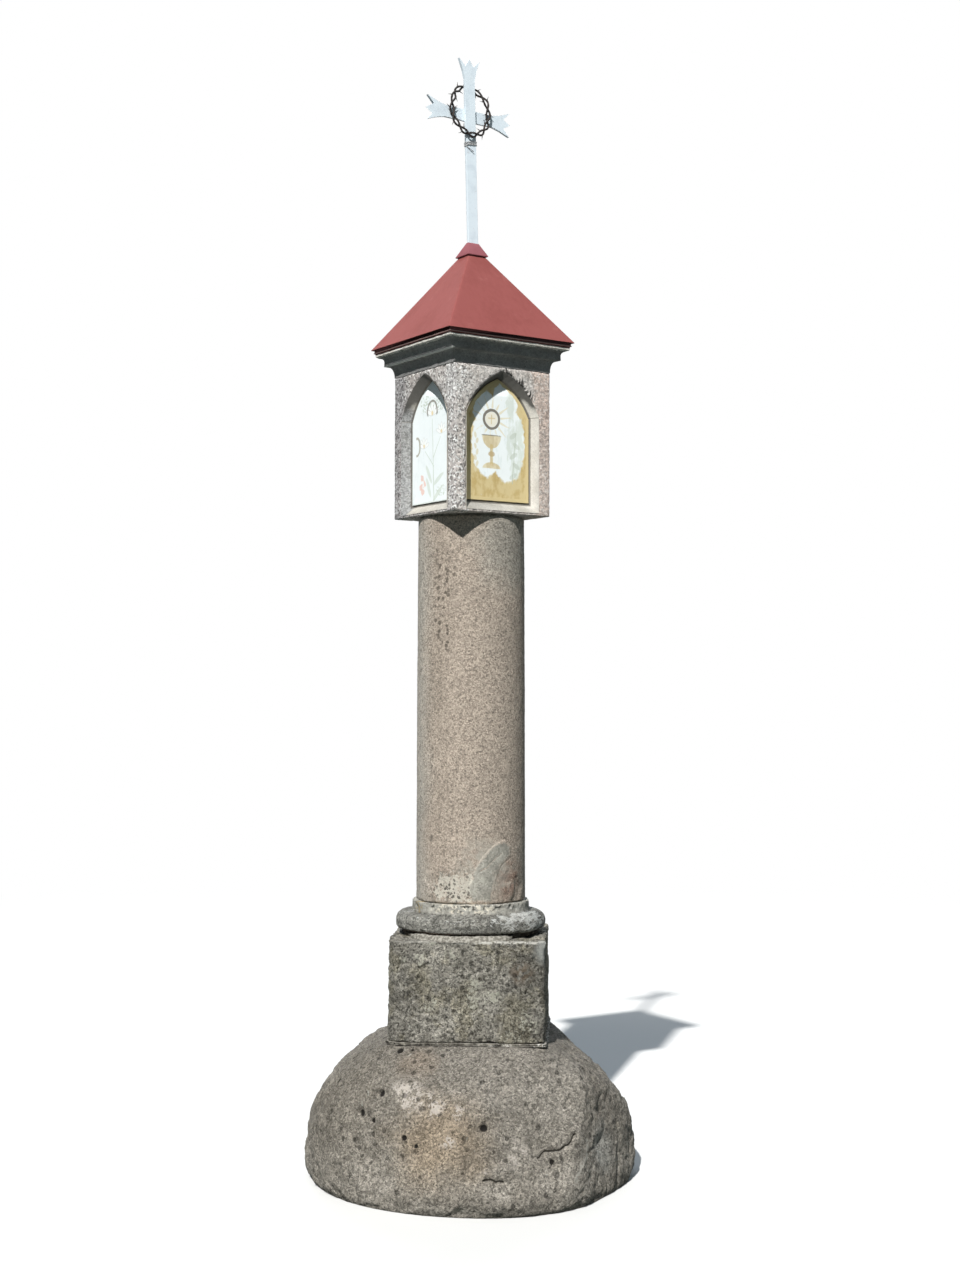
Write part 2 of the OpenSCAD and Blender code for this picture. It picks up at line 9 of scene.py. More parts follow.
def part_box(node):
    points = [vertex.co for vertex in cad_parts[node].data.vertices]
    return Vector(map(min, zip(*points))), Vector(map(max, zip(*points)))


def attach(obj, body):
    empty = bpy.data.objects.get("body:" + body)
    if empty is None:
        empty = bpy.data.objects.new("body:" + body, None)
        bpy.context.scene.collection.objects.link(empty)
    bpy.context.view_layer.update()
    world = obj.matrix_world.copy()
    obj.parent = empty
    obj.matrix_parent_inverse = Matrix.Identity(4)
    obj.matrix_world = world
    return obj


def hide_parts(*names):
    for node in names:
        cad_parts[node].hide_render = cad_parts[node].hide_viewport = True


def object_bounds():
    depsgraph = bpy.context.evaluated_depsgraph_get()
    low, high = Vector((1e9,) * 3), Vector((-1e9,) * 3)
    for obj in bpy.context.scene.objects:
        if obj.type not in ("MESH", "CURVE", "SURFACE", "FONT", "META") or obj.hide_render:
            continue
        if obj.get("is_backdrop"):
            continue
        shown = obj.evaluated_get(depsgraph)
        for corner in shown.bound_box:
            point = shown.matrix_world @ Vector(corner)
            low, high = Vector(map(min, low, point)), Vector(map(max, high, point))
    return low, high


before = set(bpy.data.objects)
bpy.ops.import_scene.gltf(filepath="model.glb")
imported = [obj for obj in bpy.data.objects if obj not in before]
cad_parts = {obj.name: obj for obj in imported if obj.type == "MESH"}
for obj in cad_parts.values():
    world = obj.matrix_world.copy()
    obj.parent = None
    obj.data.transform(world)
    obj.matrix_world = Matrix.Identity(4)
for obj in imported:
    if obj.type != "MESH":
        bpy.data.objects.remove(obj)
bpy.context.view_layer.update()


# Floor, lamps and camera. A plain pale floor that fades to white far away, a sun from the left behind
# the viewer, a weak wide lamp for the back, and a camera at eye height on the shrine's front left corner.
class Tint:
    """A socket of the finish being mixed, so that sums on it can be written plainly."""

    tree = None

    def __init__(self, socket):
        self.socket = socket

    @staticmethod
    def node(kind, settings=(), sockets=(), take=0):
        """Adds one node: its settings first, then the values or links of its sockets."""
        made = Tint.tree.nodes.new(kind)
        for name, value in dict(settings).items():
            setattr(made, name, value)
        for name, value in dict(sockets).items():
            socket = made.inputs[name]
            if isinstance(value, Tint):
                Tint.tree.links.new(value.socket, socket)
            elif socket.type == "RGBA":
                socket.default_value = (*value, 1)
            elif socket.type == "VECTOR" and isinstance(value, (int, float)):
                socket.default_value = (value,) * 3
            else:
                socket.default_value = value
        return Tint(made.outputs[take])

    def reckon(self, work, other, swapped=False):
        """A Math node where both are numbers, and otherwise a Vector Math node."""
        pair = (other, self) if swapped else (self, other)
        plain = all(x.socket.type == "VALUE" if isinstance(x, Tint) else isinstance(x, (int, float))
                    for x in pair)
        kind = "ShaderNodeMath" if plain else "ShaderNodeVectorMath"
        return Tint.node(kind, {"operation": work}, enumerate(pair))

    def __add__(self, other):
        return self.reckon("ADD", other)

    def __radd__(self, other):
        return self.reckon("ADD", other, True)

    def __sub__(self, other):
        return self.reckon("SUBTRACT", other)

    def __rsub__(self, other):
        return self.reckon("SUBTRACT", other, True)

    def __mul__(self, other):
        return self.reckon("MULTIPLY", other)

    def __rmul__(self, other):
        return self.reckon("MULTIPLY", other, True)

    def __truediv__(self, other):
        return self.reckon("DIVIDE", other)

    def __pow__(self, other):
        return self.reckon("POWER", other)

    def most(self, other):
        return self.reckon("MAXIMUM", other)

    def least(self, other):
        return self.reckon("MINIMUM", other)


def begin(name):
    """Starts a finish and gives the place on the piece, in metres."""
    finish = bpy.data.materials.new(name)
    finish.use_nodes = True
    Tint.tree = finish.node_tree
    return finish, Tint.node("ShaderNodeTexCoord", take="Object")


def complete(finish, colour, rough, relief=None, depth=0.001, metal=0.0, shine=0.5):
    """Puts colour, roughness and relief on the finish's shader."""
    nodes, links = finish.node_tree.nodes, finish.node_tree.links
    shader = nodes["Principled BSDF"]
    shader.inputs["Specular IOR Level"].default_value = shine
    for name, value in (("Base Color", colour), ("Roughness", rough), ("Metallic", metal)):
        if isinstance(value, Tint):
            links.new(value.socket, shader.inputs[name])
        else:
            shader.inputs[name].default_value = value
    if relief is not None:
        bump = Tint.node("ShaderNodeBump", {}, {"Strength": 1.0, "Distance": depth, "Height": relief})
        links.new(bump.socket, shader.inputs["Normal"])
    return finish


def rise(value, low, high):
    """0 below low and 1 above high, with a smooth change between; the other way round where low is higher."""
    return Tint.node("ShaderNodeMapRange", {"interpolation_type": "SMOOTHSTEP"}, {
        "Value": value, "From Min": low, "From Max": high})


def blend(under, over, share):
    """One colour over another."""
    return Tint.node("ShaderNodeMix", {"data_type": "RGBA"}, {0: share, 6: under, 7: over}, take=2)


def measure(work, *places):
    """A number taken from one place or two, such as a length or a distance."""
    return Tint.node("ShaderNodeVectorMath", {"operation": work}, enumerate(places), take="Value")


def ray(kind):
    """1 where a ray is of this kind."""
    return Tint.node("ShaderNodeLightPath", take=f"Is {kind} Ray")


def as_mesh(name, work):
    """Turns worked geometry into a mesh."""
    mesh = bpy.data.meshes.new(name)
    work.to_mesh(mesh)
    work.free()
    return mesh


def stand(name, data):
    """Puts a new object in the scene."""
    made = bpy.data.objects.new(name, data)
    bpy.context.scene.collection.objects.link(made)
    return made


FLOOR_HALF, FADE_FROM, FADE_TO = 60, 2.2, 9
work = bmesh.new()
bmesh.ops.create_grid(work, x_segments=2, y_segments=2, size=FLOOR_HALF)
floor = stand("floor", as_mesh("floor", work))
floor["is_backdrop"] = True
finish, where = begin("floor")
seen = ray("Camera").most(ray("Glossy"))
complete(finish, blend((0.105, 0.12, 0.11), (0.74, 0.74, 0.73), seen), 0.9, shine=0.1)
faded = Tint.node("ShaderNodeMixShader", {}, {
    0: rise(measure("LENGTH", where), FADE_FROM, FADE_TO) * seen,
    1: Tint(Tint.tree.nodes["Principled BSDF"].outputs[0]), 2: Tint.node("ShaderNodeEmission")})
Tint.tree.links.new(faded.socket, Tint.tree.nodes["Material Output"].inputs["Surface"])
floor.data.materials.append(finish)

sky = bpy.data.worlds.new("sky")
bpy.context.scene.world = sky
sky.use_nodes = True
Tint.tree = sky.node_tree
soft = Tint.tree.nodes["Background"]
soft.inputs["Color"].default_value = (0.62, 0.82, 1.0, 1)
soft.inputs["Strength"].default_value = 0.165
white = Tint.node("ShaderNodeBackground", {}, {"Color": (1, 1, 1)})
seen = ray("Camera").most(ray("Glossy")).most(ray("Transmission"))
both = Tint.node("ShaderNodeMixShader", {}, {0: seen, 1: Tint(soft.outputs[0]), 2: white})
Tint.tree.links.new(both.socket, Tint.tree.nodes["World Output"].inputs["Surface"])

for name, energy, colour, spread, side, high in (
        ("sun", 5.4, (1.0, 0.985, 0.965), 1.2, -139, 44.5),
        ("back_light", 1.3, (0.86, 0.93, 1.0), 50, 56.5, 28)):
    lamp = stand(name, bpy.data.lights.new(name, "SUN"))
    lamp.data.energy = energy
    lamp.data.color = colour
    lamp.data.angle = radians(spread)
    side, high = radians(side), radians(high)
    shines_from = Vector((cos(side) * cos(high), sin(side) * cos(high), sin(high)))
    lamp.rotation_mode = "QUATERNION"
    lamp.rotation_quaternion = shines_from.to_track_quat("Z", "Y")

EYE, YAW, TILT, ROLL = (-3.2959, -5.0261, 1.6), radians(-33.543), radians(91.849), radians(0.091)
camera = stand("camera", bpy.data.cameras.new("camera"))
bpy.context.scene.camera = camera
camera.data.sensor_width = 36
camera.data.lens = 49.75
camera.matrix_world = (Matrix.Translation(EYE) @ Matrix.Rotation(YAW, 4, "Z")
                       @ Matrix.Rotation(TILT, 4, "X") @ Matrix.Rotation(ROLL, 4, "Z"))
bpy.context.scene.view_settings.view_transform = "Standard"


# Base stone. One rough fieldstone, domed by weather, lying on the ground and dressed flat on top for
# the plinth. Grey-brown, with grit, rubbed-off flakes, a crack at its front and lichen on its crown.
def cloud(where, scale, detail=3, rough=0.55, twist=0.0):
    """Cloudy values from 0 to 1, with this many clouds to the metre."""
    return Tint.node("ShaderNodeTexNoise", {}, {
        "Vector": where, "Scale": scale, "Detail": detail, "Roughness": rough, "Distortion": twist})


def grains(where, scale):
    """A random value from 0 to 1 in each grain, with this many grains to the metre."""
    cell = Tint.node("ShaderNodeTexVoronoi", {}, {"Vector": where, "Scale": scale}, take="Color")
    return Tint.node("ShaderNodeSeparateColor", {}, {"Color": cell})


def axis(where, which):
    """One of a place's three coordinates."""
    return Tint.node("ShaderNodeSeparateXYZ", {}, {0: where}, take=which)


def around(where, centre, radius, soft=0.5):
    """1 within this distance of a point, fading out over a share of it."""
    return rise(measure("DISTANCE", where, centre), radius * (1 + soft), radius * (1 - soft))


def ragged(where, scale, amount):
    """The place moved about, so that stains on it get ragged edges."""
    stray = Tint.node("ShaderNodeTexNoise", {}, {"Vector": where, "Scale": scale, "Detail": 3.0},
                      take="Color")
    return where + (stray - (0.5, 0.5, 0.5)) * amount


def tinge(colour, factor, share):
    """The colour multiplied by a factor in a share of the place."""
    return blend(colour, colour * factor, share)


def stone(name, pale, dark, grain, contrast, blotch=4.0, specks=0.5):
    """Grainy stone: blotches of two colours, grains of this width in light and dark, and dark specks."""
    finish, where = begin(name)
    loose = ragged(where, 0.25 / grain, grain * 0.8)
    patches = cloud(where, blotch, 5, 0.6, 0.4)
    mottle = cloud(where + (3.1, 1.7, 0.4), blotch * 6, 4, 0.65)
    crumbs = cloud(loose + (0.3, 0.9, 0.2), 0.50 / grain, 3, 0.6)
    fine = grains(loose, 1 / grain) * 0.62 + grains(loose + (2, 5, 1), 2.1 / grain) * 0.38
    seams = Tint.node("ShaderNodeTexVoronoi", {"feature": "DISTANCE_TO_EDGE"},
                      {"Vector": loose, "Scale": 1 / grain})
    gaps = rise(seams, 0.10, 0.02)
    deep = rise(crumbs, 0.37, 0.31)
    colour = blend(dark, pale, rise(patches * 0.5 + mottle * 0.5, 0.36, 0.64))
    colour = colour * (1 + contrast * (fine - 0.5))
    colour = blend(colour, tuple(x * 0.35 for x in dark), deep.most(gaps * 0.4) * specks)
    relief = crumbs * 0.5 + fine * 0.5 - gaps * 0.2 - deep * 0.4 + cloud(where, 0.10 / grain, 4, 0.6) * 0.8
    return finish, where, colour, relief


def lichen(where, colour, tone, scale, share, spots=None):
    """Crusts of lichen, more where spots is high."""
    crust = cloud(where + (9.2, 4.4, 1.3), scale, 5, 0.7, 0.6)
    holes = cloud(where, scale * 9, 3, 0.6)
    level = 1 - share
    crust = crust if spots is None else crust + spots * 0.22
    cover = rise(crust, level, level + 0.07) * rise(holes, 0.35, 0.5)
    return blend(colour, tone, cover), cover


def blots(where, scale, share, size):
    """Round blots in a share of the cells; their size is a share of a cell."""
    gap = Tint.node("ShaderNodeTexVoronoi", {}, {"Vector": where, "Scale": scale})
    return rise(gap, size * 1.2, size * 0.8) * rise(grains(where, scale), 1 - share, 1.01 - share)


def trail(where, points, width):
    """1 on a line through some points and 0 beside it."""
    gaps = []
    for a, b in zip(points, points[1:]):
        along = Vector(b) - Vector(a)
        share = measure("DOT_PRODUCT", where - tuple(a), tuple(along / along.length_squared))
        share = Tint.node("ShaderNodeClamp", {}, {0: share})
        foot = Tint.node("ShaderNodeVectorMath", {"operation": "SCALE"}, {0: tuple(along), "Scale": share})
        gaps.append(measure("DISTANCE", where, foot + tuple(a)))
    return rise(reduce(Tint.least, gaps), width, width * 0.35)


def cad_copy(*nodes):
    """Merged copies of CAD nodes, to be worked on."""
    work = bmesh.new()
    for node in nodes:
        work.from_mesh(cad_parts[node].data)
    bmesh.ops.remove_doubles(work, verts=work.verts, dist=0.00002)
    return work


def even(work, size, turn=0.0):
    """The same shape in small even faces; turn lines the faces up with a block that stands askew."""
    work.transform(Matrix.Rotation(-turn, 4, "Z"))
    rough = stand("rough", as_mesh("rough", work))
    remesh = rough.modifiers.new("even", "REMESH")
    remesh.mode, remesh.voxel_size = "VOXEL", size
    made = bmesh.new()
    made.from_object(rough, bpy.context.evaluated_depsgraph_get())
    bpy.data.objects.remove(rough)
    made.transform(Matrix.Rotation(turn, 4, "Z"))
    return made


def weather(work, wear):
    """Moves each point along its normal by what wear gives for its place, never out of the CAD box."""
    low = Vector([min(v.co[i] for v in work.verts) for i in range(3)])
    high = Vector([max(v.co[i] for v in work.verts) for i in range(3)])
    work.normal_update()
    moves = []
    for v in work.verts:
        out = wear(v.co, v.normal)
        if out > 0:
            gap = min(min(v.co[i] - low[i], high[i] - v.co[i]) for i in range(3))
            out *= min(1, gap / 0.015)
        moves.append(v.normal * out)
    for v, move in zip(work.verts, moves):
        v.co += move


def place_piece(name, work, finish, slot, *nodes, crease=None):
    """Makes the worked mesh a piece of the shrine that stands for its CAD nodes."""
    mesh = as_mesh(name, work)
    mesh.shade_smooth()
    if crease is not None:
        mesh.set_sharp_from_angle(angle=radians(crease))
    mesh.materials.append(finish)
    piece = stand(name, mesh)
    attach(piece, "root")
    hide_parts(*nodes)
    return piece


def held(value):
    """A number held between 0 and 1."""
    return min(1, max(0, value))


def bumps(place, dull=0.8, octaves=3):
    """Uneven heights, about -1 to 1; a dull surface has less fine detail."""
    return noise.fractal(place, dull, 2.1, octaves)


def near_line(p, points):
    """Distance from a point to a line through some points."""
    best = 9.0
    for a, b in zip(points, points[1:]):
        a, b = Vector(a), Vector(b)
        along = b - a
        share = held((p - a).dot(along) / along.length_squared)
        best = min(best, (p - a - along * share).length)
    return best


def pits(p, scale, share, deep):
    """Depth of scattered pits, in a share of the cells."""
    gaps, centres = noise.voronoi(p * scale)
    if noise.cell(centres[0] * 5.3) * 0.5 + 0.5 > share:
        return 0
    size = 0.42 + 0.16 * noise.cell(centres[0] * 9.7 + Vector((3, 3, 3)))
    return deep * max(0, 1 - gaps[0] / size) ** 0.7


def chips(place, level, soft):
    """1 inside broken patches and 0 between them."""
    return held((noise.noise(place) - level) / soft)


def cracks(p, lines, width, deep):
    """Depth of cracks along some lines."""
    return max(max(0, 1 - near_line(p, line) / width) for line in lines) * deep


noise.seed_set(7)        # noise_vector, which the cracks stray by, takes its offsets from this seed
STONE_HEART, SKIN_SPAN = (0, 0, 0.12), 0.5
FLAT_FOOT, SEAT = 0.004, 0.470


def on_skin(p):
    """A place on the stone as seen from its heart, so that a feature follows the surface in and out."""
    return (Vector(p) - Vector(STONE_HEART)).normalized() * SKIN_SPAN


boulder_cracks = [[on_skin(p) for p in line] for line in (
    [(-0.079, -0.506, 0.170), (-0.049, -0.507, 0.184), (-0.022, -0.513, 0.186), (-0.001, -0.520, 0.185),
     (0.036, -0.521, 0.203), (0.058, -0.517, 0.225)],
    [(-0.262, -0.475, 0.117), (-0.245, -0.485, 0.120), (-0.228, -0.488, 0.113), (-0.205, -0.497, 0.110)])]
boulder_holes = [(on_skin(p), size) for p, size in (
    ((-0.335, -0.095, 0.462), 0.014), ((-0.306, -0.122, 0.466), 0.008), ((-0.479, 0.058, 0.354), 0.012),
    ((-0.492, -0.114, 0.287), 0.012), ((-0.473, -0.155, 0.268), 0.009), ((-0.448, -0.162, 0.353), 0.012),
    ((-0.42, -0.264, 0.227), 0.010), ((-0.40, -0.30, 0.205), 0.008), ((-0.226, -0.423, 0.264), 0.014),
    ((-0.036, -0.525, 0.153), 0.010))]


def boulder_wear(p, n):
    if p.z < FLAT_FOOT and n.z < -0.5:
        return 0
    broad = bumps(p * 4.2) * 0.007
    ridges = -0.004 * max(0, 0.20 - abs(bumps(p * 6.5 + Vector((8, 2, 5)), 0.8, 2))) / 0.20
    lumps = bumps(p * 17 + Vector((3, 1, 7)), 0.7) * 0.0034
    steps = -0.0035 * chips(p * 11 + Vector((5, 2, 1)), 0.12, 0.08)
    grit = bumps(p * 60, 0.5) * 0.0020
    skin = on_skin(p)
    split = cracks(skin + noise.noise_vector(p * 22) * 0.006, boulder_cracks, 0.009, 0.012)
    near_hole = max(1 - (skin - spot).length / (size * 1.15) for spot, size in boulder_holes)
    bored = max(0, near_hole) ** 0.6 * 0.014
    below_seat = held((SEAT - p.z) / 0.03)
    holes = pits(p, 11, 0.10, 0.012) + pits(p + Vector((2, 2, 2)), 34, 0.18, 0.005)
    return (broad + ridges + lumps + steps - holes) * below_seat + grit - split - bored


work = even(cad_copy("base_boulder"), 0.0063)
for _ in range(20):
    bmesh.ops.smooth_vert(work, verts=[v for v in work.verts if v.co.z > FLAT_FOOT], factor=0.5,
                          use_axis_x=True, use_axis_y=True, use_axis_z=True)
weather(work, boulder_wear)
finish, where, colour, relief = stone("fieldstone", (0.308, 0.284, 0.246), (0.198, 0.181, 0.153), 0.0056,
                                      1.5, 4.0, 0.7)
height = axis(where, 2)
stray = ragged(where, 8, 0.12)
for spot, size, tone in (
        ((-0.47, 0.0, 0.30), 0.22, (0.81, 0.80, 0.78)), ((-0.33, -0.19, 0.45), 0.07, (1.06, 0.98, 0.92)),
        ((0.27, -0.40, 0.22), 0.17, (1.04, 1.03, 1.02)), ((0.20, -0.46, 0.15), 0.06, (1.0, 1.06, 1.12))):
    colour = tinge(colour, tone, around(stray, spot, size, 0.6))
earth = around(ragged(where, 9, 0.14), (-0.35, -0.36, 0.225), 0.140, 0.6)
colour = tinge(colour, (1.0, 0.87, 0.72), earth * 0.85)
edgy = ragged(where, 30, 0.05)
lime = reduce(Tint.__add__, [around(edgy, spot, size, 0.6) * much for spot, size, much in (
    ((-0.395, -0.235, 0.350), 0.050, 1), ((-0.345, -0.310, 0.333), 0.036, 1),
    ((-0.29, -0.378, 0.312), 0.024, 1), ((-0.335, -0.39, 0.225), 0.018, 0.8),
    ((-0.145, -0.482, 0.182), 0.034, 0.7), ((-0.248, -0.478, 0.134), 0.017, 1))])
colour = blend(colour, (0.56, 0.51, 0.455), lime * rise(cloud(where, 34, 5, 0.72), 0.49, 0.53) * rise(
    cloud(where, 150, 3), 0.38, 0.46) * 0.9)
crown = rise(height, 0.34, 0.47)
colour = tinge(colour, 0.86, crown)
colour, pale_crust = lichen(where, colour, (0.46, 0.44, 0.385), 28, 0.325, crown * 0.15)
colour, _ = lichen(where + (2, 5, 3), colour, (0.37, 0.37, 0.33), 36, 0.345)
colour, black_crust = lichen(where + (7, 1, 4), colour, (0.060, 0.056, 0.048), 46, 0.355)
colour = tinge(colour, 0.42, blots(ragged(where, 60, 0.009), 38, 0.17, 0.32))
skin = Tint.node("ShaderNodeVectorMath", {"operation": "NORMALIZE"}, {0: where - STONE_HEART}) * SKIN_SPAN
vein = [on_skin(p) for p in (
    (0.112, -0.51, 0.20), (0.105, -0.53, 0.15), (0.066, -0.541, 0.131), (0.03, -0.545, 0.095))]
colour = blend(colour, (0.46, 0.44, 0.39), trail(ragged(skin, 24, 0.014), vein, 0.010) * rise(
    cloud(where, 90, 3), 0.36, 0.50) * 0.7)
for line in boulder_cracks:
    colour = blend(colour, (0.030, 0.027, 0.022), trail(ragged(skin, 45, 0.014), line, 0.0056))
for spot, size in boulder_holes:
    colour = blend(colour, (0.016, 0.014, 0.012),
                   around(ragged(skin, 60, 0.005), tuple(spot), size * 0.85, 0.25))
foot = rise(height + cloud(where, 12, 3) * 0.06, 0.02, 0.06)
colour = colour * (1.16 - 0.14 * rise(height, 0.10, 0.24)) * (0.86 + 0.14 * foot)
relief = relief + pale_crust * 0.3 - black_crust * 0.2
place_piece("base_stone", work, complete(finish, colour, 0.93, relief, 0.0045, shine=0.2), "rough_stone",
            "base_boulder")


# Plinth. A square block of the same coarse stone, askew to the column over it and bedded in lime
# mortar. Its faces are pitted, its edges worn, and its left front corner is rounded right off.
PLINTH_TURN, PLINTH_HALF = radians(-37), 0.26
plinth_low, plinth_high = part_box("plinth_block")


def worn_block(p, half, top, foot, wear):
    """How far a point near a block's edges lies outside the worn edge, as a move towards its middle."""
    inner = Vector((half - wear, half - wear, 0))
    out = Vector((max(0, abs(p.x) - inner.x), max(0, abs(p.y) - inner.y),
                  max(0, p.z - (top - wear), (foot + wear) - p.z)))
    if out.length <= wear or sum(1 for d in out if d > 0) < 2:
        return Vector((0, 0, 0))
    back = out * (1 - wear / out.length)
    middle = (top + foot) / 2
    return Vector((-back.x if p.x > 0 else back.x, -back.y if p.y > 0 else back.y,
                   -back.z if p.z > middle else back.z))


work = even(cad_copy("plinth_block"), 0.0052, PLINTH_TURN)
work.transform(Matrix.Rotation(-PLINTH_TURN, 4, "Z"))
chip = Vector((0.20, -0.92, 0.34)).normalized()
for v in work.verts:
    wear = 0.003 + 0.007 * max(0, 0.2 + bumps(v.co * 16))
    v.co += worn_block(v.co, PLINTH_HALF, plinth_high.z, plinth_low.z, wear)
    v.co -= chip * max(0, (v.co - Vector((PLINTH_HALF, -PLINTH_HALF, 0.772))).dot(chip))
plinth_cracks = [[(x, -PLINTH_HALF, z) for x, z in line] for line in (
    ((0.069, 0.664), (0.082, 0.655), (0.097, 0.652)),
    ((0.175, 0.74), (0.170, 0.70), (0.183, 0.665), (0.178, 0.62)),
    ((-0.155, 0.65), (-0.135, 0.632)), ((0.005, 0.598), (0.028, 0.604)))]


def plinth_wear(p, n):
    broad = bumps(p * 6) * 0.0034 - 0.002
    lumps = bumps(p * 26, 0.6) * 0.0030
    steps = -0.004 * chips(p * 17 + Vector((5, 2, 1)), 0.10, 0.07)
    grit = bumps(p * 75, 0.5) * 0.0020
    split = cracks(p + noise.noise_vector(p * 30) * 0.004, plinth_cracks, 0.0065, 0.008)
    holes = pits(p, 30, 0.20, 0.006) + pits(p + Vector((1, 1, 1)), 70, 0.30, 0.0035)
    return broad + lumps + steps + grit - split - holes


weather(work, plinth_wear)
work.transform(Matrix.Rotation(PLINTH_TURN, 4, "Z"))
finish, where, colour, relief = stone("plinth stone", (0.330, 0.314, 0.273), (0.188, 0.177, 0.151), 0.0056,
                                      1.9, 7.0, 0.8)
height = axis(where, 2)
square = Tint.node("ShaderNodeVectorRotate", {"rotation_type": "Z_AXIS"},
                   {"Vector": where, "Angle": -PLINTH_TURN})
across = axis(square, 0)
face = rise(axis(square, 1), -0.22, -0.24)
rust = around(ragged(square, 16, 0.05), (0.182, -0.26, 0.705), 0.030, 0.6)
colour = blend(colour, (0.17, 0.125, 0.085), rust * face * rise(cloud(where, 60, 3), 0.40, 0.52) * 0.7)
soot = rise(cloud(where * (10, 10, 4), 1, 4, 0.65), 0.50, 0.62)
colour = tinge(colour, (0.72, 0.72, 0.70), soot * 0.6)
olive = rise(cloud(where + (5, 1, 9), 9, 4, 0.65), 0.46, 0.60)
colour = tinge(colour, (1.03, 1.0, 0.88), olive * 0.8)
# Painted shade: the plinth's front face is darker towards its right and, less, towards its left, as if those
# parts turned away from the light.
uneven = across + (cloud(where, 7, 3) - 0.5) * 0.2
colour = tinge(colour, 0.66, face * rise(uneven, 0.04, 0.20))
colour = tinge(colour, 0.77, face * rise(uneven, -0.08, -0.18))
lit = ragged(square, 26, 0.045)
crusts = reduce(Tint.most, [around(lit, (x, -PLINTH_HALF, z), size, 0.7) * much for x, z, size, much in (
    (-0.115, 0.795, 0.022, 0.8), (-0.142, 0.757, 0.022, 1.0), (0.035, 0.665, 0.030, 0.9),
    (0.085, 0.632, 0.032, 0.9), (0.020, 0.622, 0.028, 0.9), (-0.115, 0.60, 0.020, 0.8),
    (-0.04, 0.765, 0.030, 0.6), (0.20, 0.55, 0.050, 0.6), (-0.21, 0.755, 0.012, 0.9),
    (0.15, 0.51, 0.045, 0.6))])
colour, pale_crust = lichen(square, colour, (0.54, 0.53, 0.44), 75, 0.33, crusts * 1.2)
colour, _ = lichen(where + (4, 2, 2), colour, (0.42, 0.42, 0.375), 40, 0.355)
colour, black_crust = lichen(where + (1, 6, 8), colour, (0.045, 0.042, 0.036), 50, 0.35)
edge = rise(height + (cloud(where, 45, 4, 0.7) - 0.5) * 0.024, 0.799, 0.804)
edge = edge * (0.30 + 0.70 * rise(across + (cloud(where, 14, 3) - 0.5) * 0.12, -0.06, 0.01))
near_edge = rise(axis(square, 1), -0.225, -0.245)
colour = blend(colour, (0.60, 0.585, 0.53),
               edge * near_edge * rise(cloud(where, 60, 4, 0.7), 0.40, 0.52) * 0.9)
broken = around(ragged(square * (1, 1, 0.7), 30, 0.03), (0.258, -0.255, 0.545), 0.030, 0.4)
colour = blend(colour, (0.37, 0.385, 0.365), broken * 0.6)
colour = tinge(colour, 0.42, blots(ragged(where, 60, 0.009), 44, 0.24, 0.34))
for line in plinth_cracks:
    colour = blend(colour, (0.018, 0.016, 0.013), trail(ragged(square, 40, 0.006), line, 0.0052))
relief = relief + pale_crust * 0.3 - black_crust * 0.2
place_piece("plinth", work, complete(finish, colour, 0.93, relief, 0.0045, shine=0.2), "plinth_stone",
            "plinth_block")

work = even(cad_copy("bedding_mortar"), 0.005, PLINTH_TURN)
weather(work, lambda p, n: bumps(p * 34, 0.7) * 0.005 - 0.009 if abs(n.z) < 0.7 else 0)
finish, where = begin("lime mortar")
mottle = cloud(where, 35, 4, 0.65)
colour = blend((0.10, 0.092, 0.077), (0.25, 0.235, 0.20), rise(mottle, 0.38, 0.6))
colour = colour * (1 + 1.2 * (grains(where, 150) - 0.5))
right_side = rise(measure("DOT_PRODUCT", where, (cos(PLINTH_TURN), sin(PLINTH_TURN), 0)), 0.02, 0.12)
white_crumbs = rise(cloud(where + (2, 2, 2), 55, 4, 0.7), 0.50, 0.58) * right_side
colour = blend(colour, (0.70, 0.68, 0.62), white_crumbs * 0.9)
mortar = complete(finish, colour, 0.95, cloud(where, 300, 4, 0.7) + mottle, 0.002, shine=0.2)
place_piece("plinth_bed", work, mortar, "mortar", "bedding_mortar")


# Column base. A turned torus under a low collar, cut from one stone and set on a joint of dirty mortar
# that is raked well back. Cream and yellow lichen grows on whatever faces up.
work = even(cad_copy("plinth_joint"), 0.005)
joint_low, joint_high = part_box("plinth_joint")
viewer = Vector((-0.552, -0.834, 0))
for v in work.verts:
    out = Vector((v.co.x, v.co.y, 0))
    if out.length > joint_high.x - 0.009:
        out.normalize()
        aside = out.dot(Vector((-viewer.y, viewer.x, 0)))
        full = held((aside + 0.97) / 0.3) * held((0.66 - aside) / 0.2) if out.dot(viewer) > 0 else 0
        up = (v.co.z - joint_low.z) / (joint_high.z - joint_low.z)
        v.co += out * ((0.028 - 0.018 * up) * full + bumps(v.co * 35, 0.7) * 0.003 - 0.001)
        v.co.z -= 0.008 * full * max(0, 1 - 2 * up)
finish, where = begin("raked joint")
mottle = cloud(where, 60, 4, 0.65)
reach = measure("LENGTH", where * (1, 1, 0))
colour = blend((0.035, 0.030, 0.025), (0.12, 0.105, 0.085), rise(mottle, 0.4, 0.7))
fillet = rise(reach + (mottle - 0.5) * 0.02, joint_high.x + 0.005, joint_high.x + 0.011)
fresh = blend((0.16, 0.15, 0.128), (0.34, 0.325, 0.285), rise(cloud(where, 110, 3, 0.6), 0.44, 0.58))
colour = blend(colour, fresh, fillet)
place_piece("raked_joint", work, complete(finish, colour, 0.97, mottle, 0.003, shine=0.1), "joint_mortar",
            "plinth_joint")

base_low, base_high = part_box("column_base")
COLLAR_OUT, COLLAR_TOP = 0.183, base_high.z - 0.022


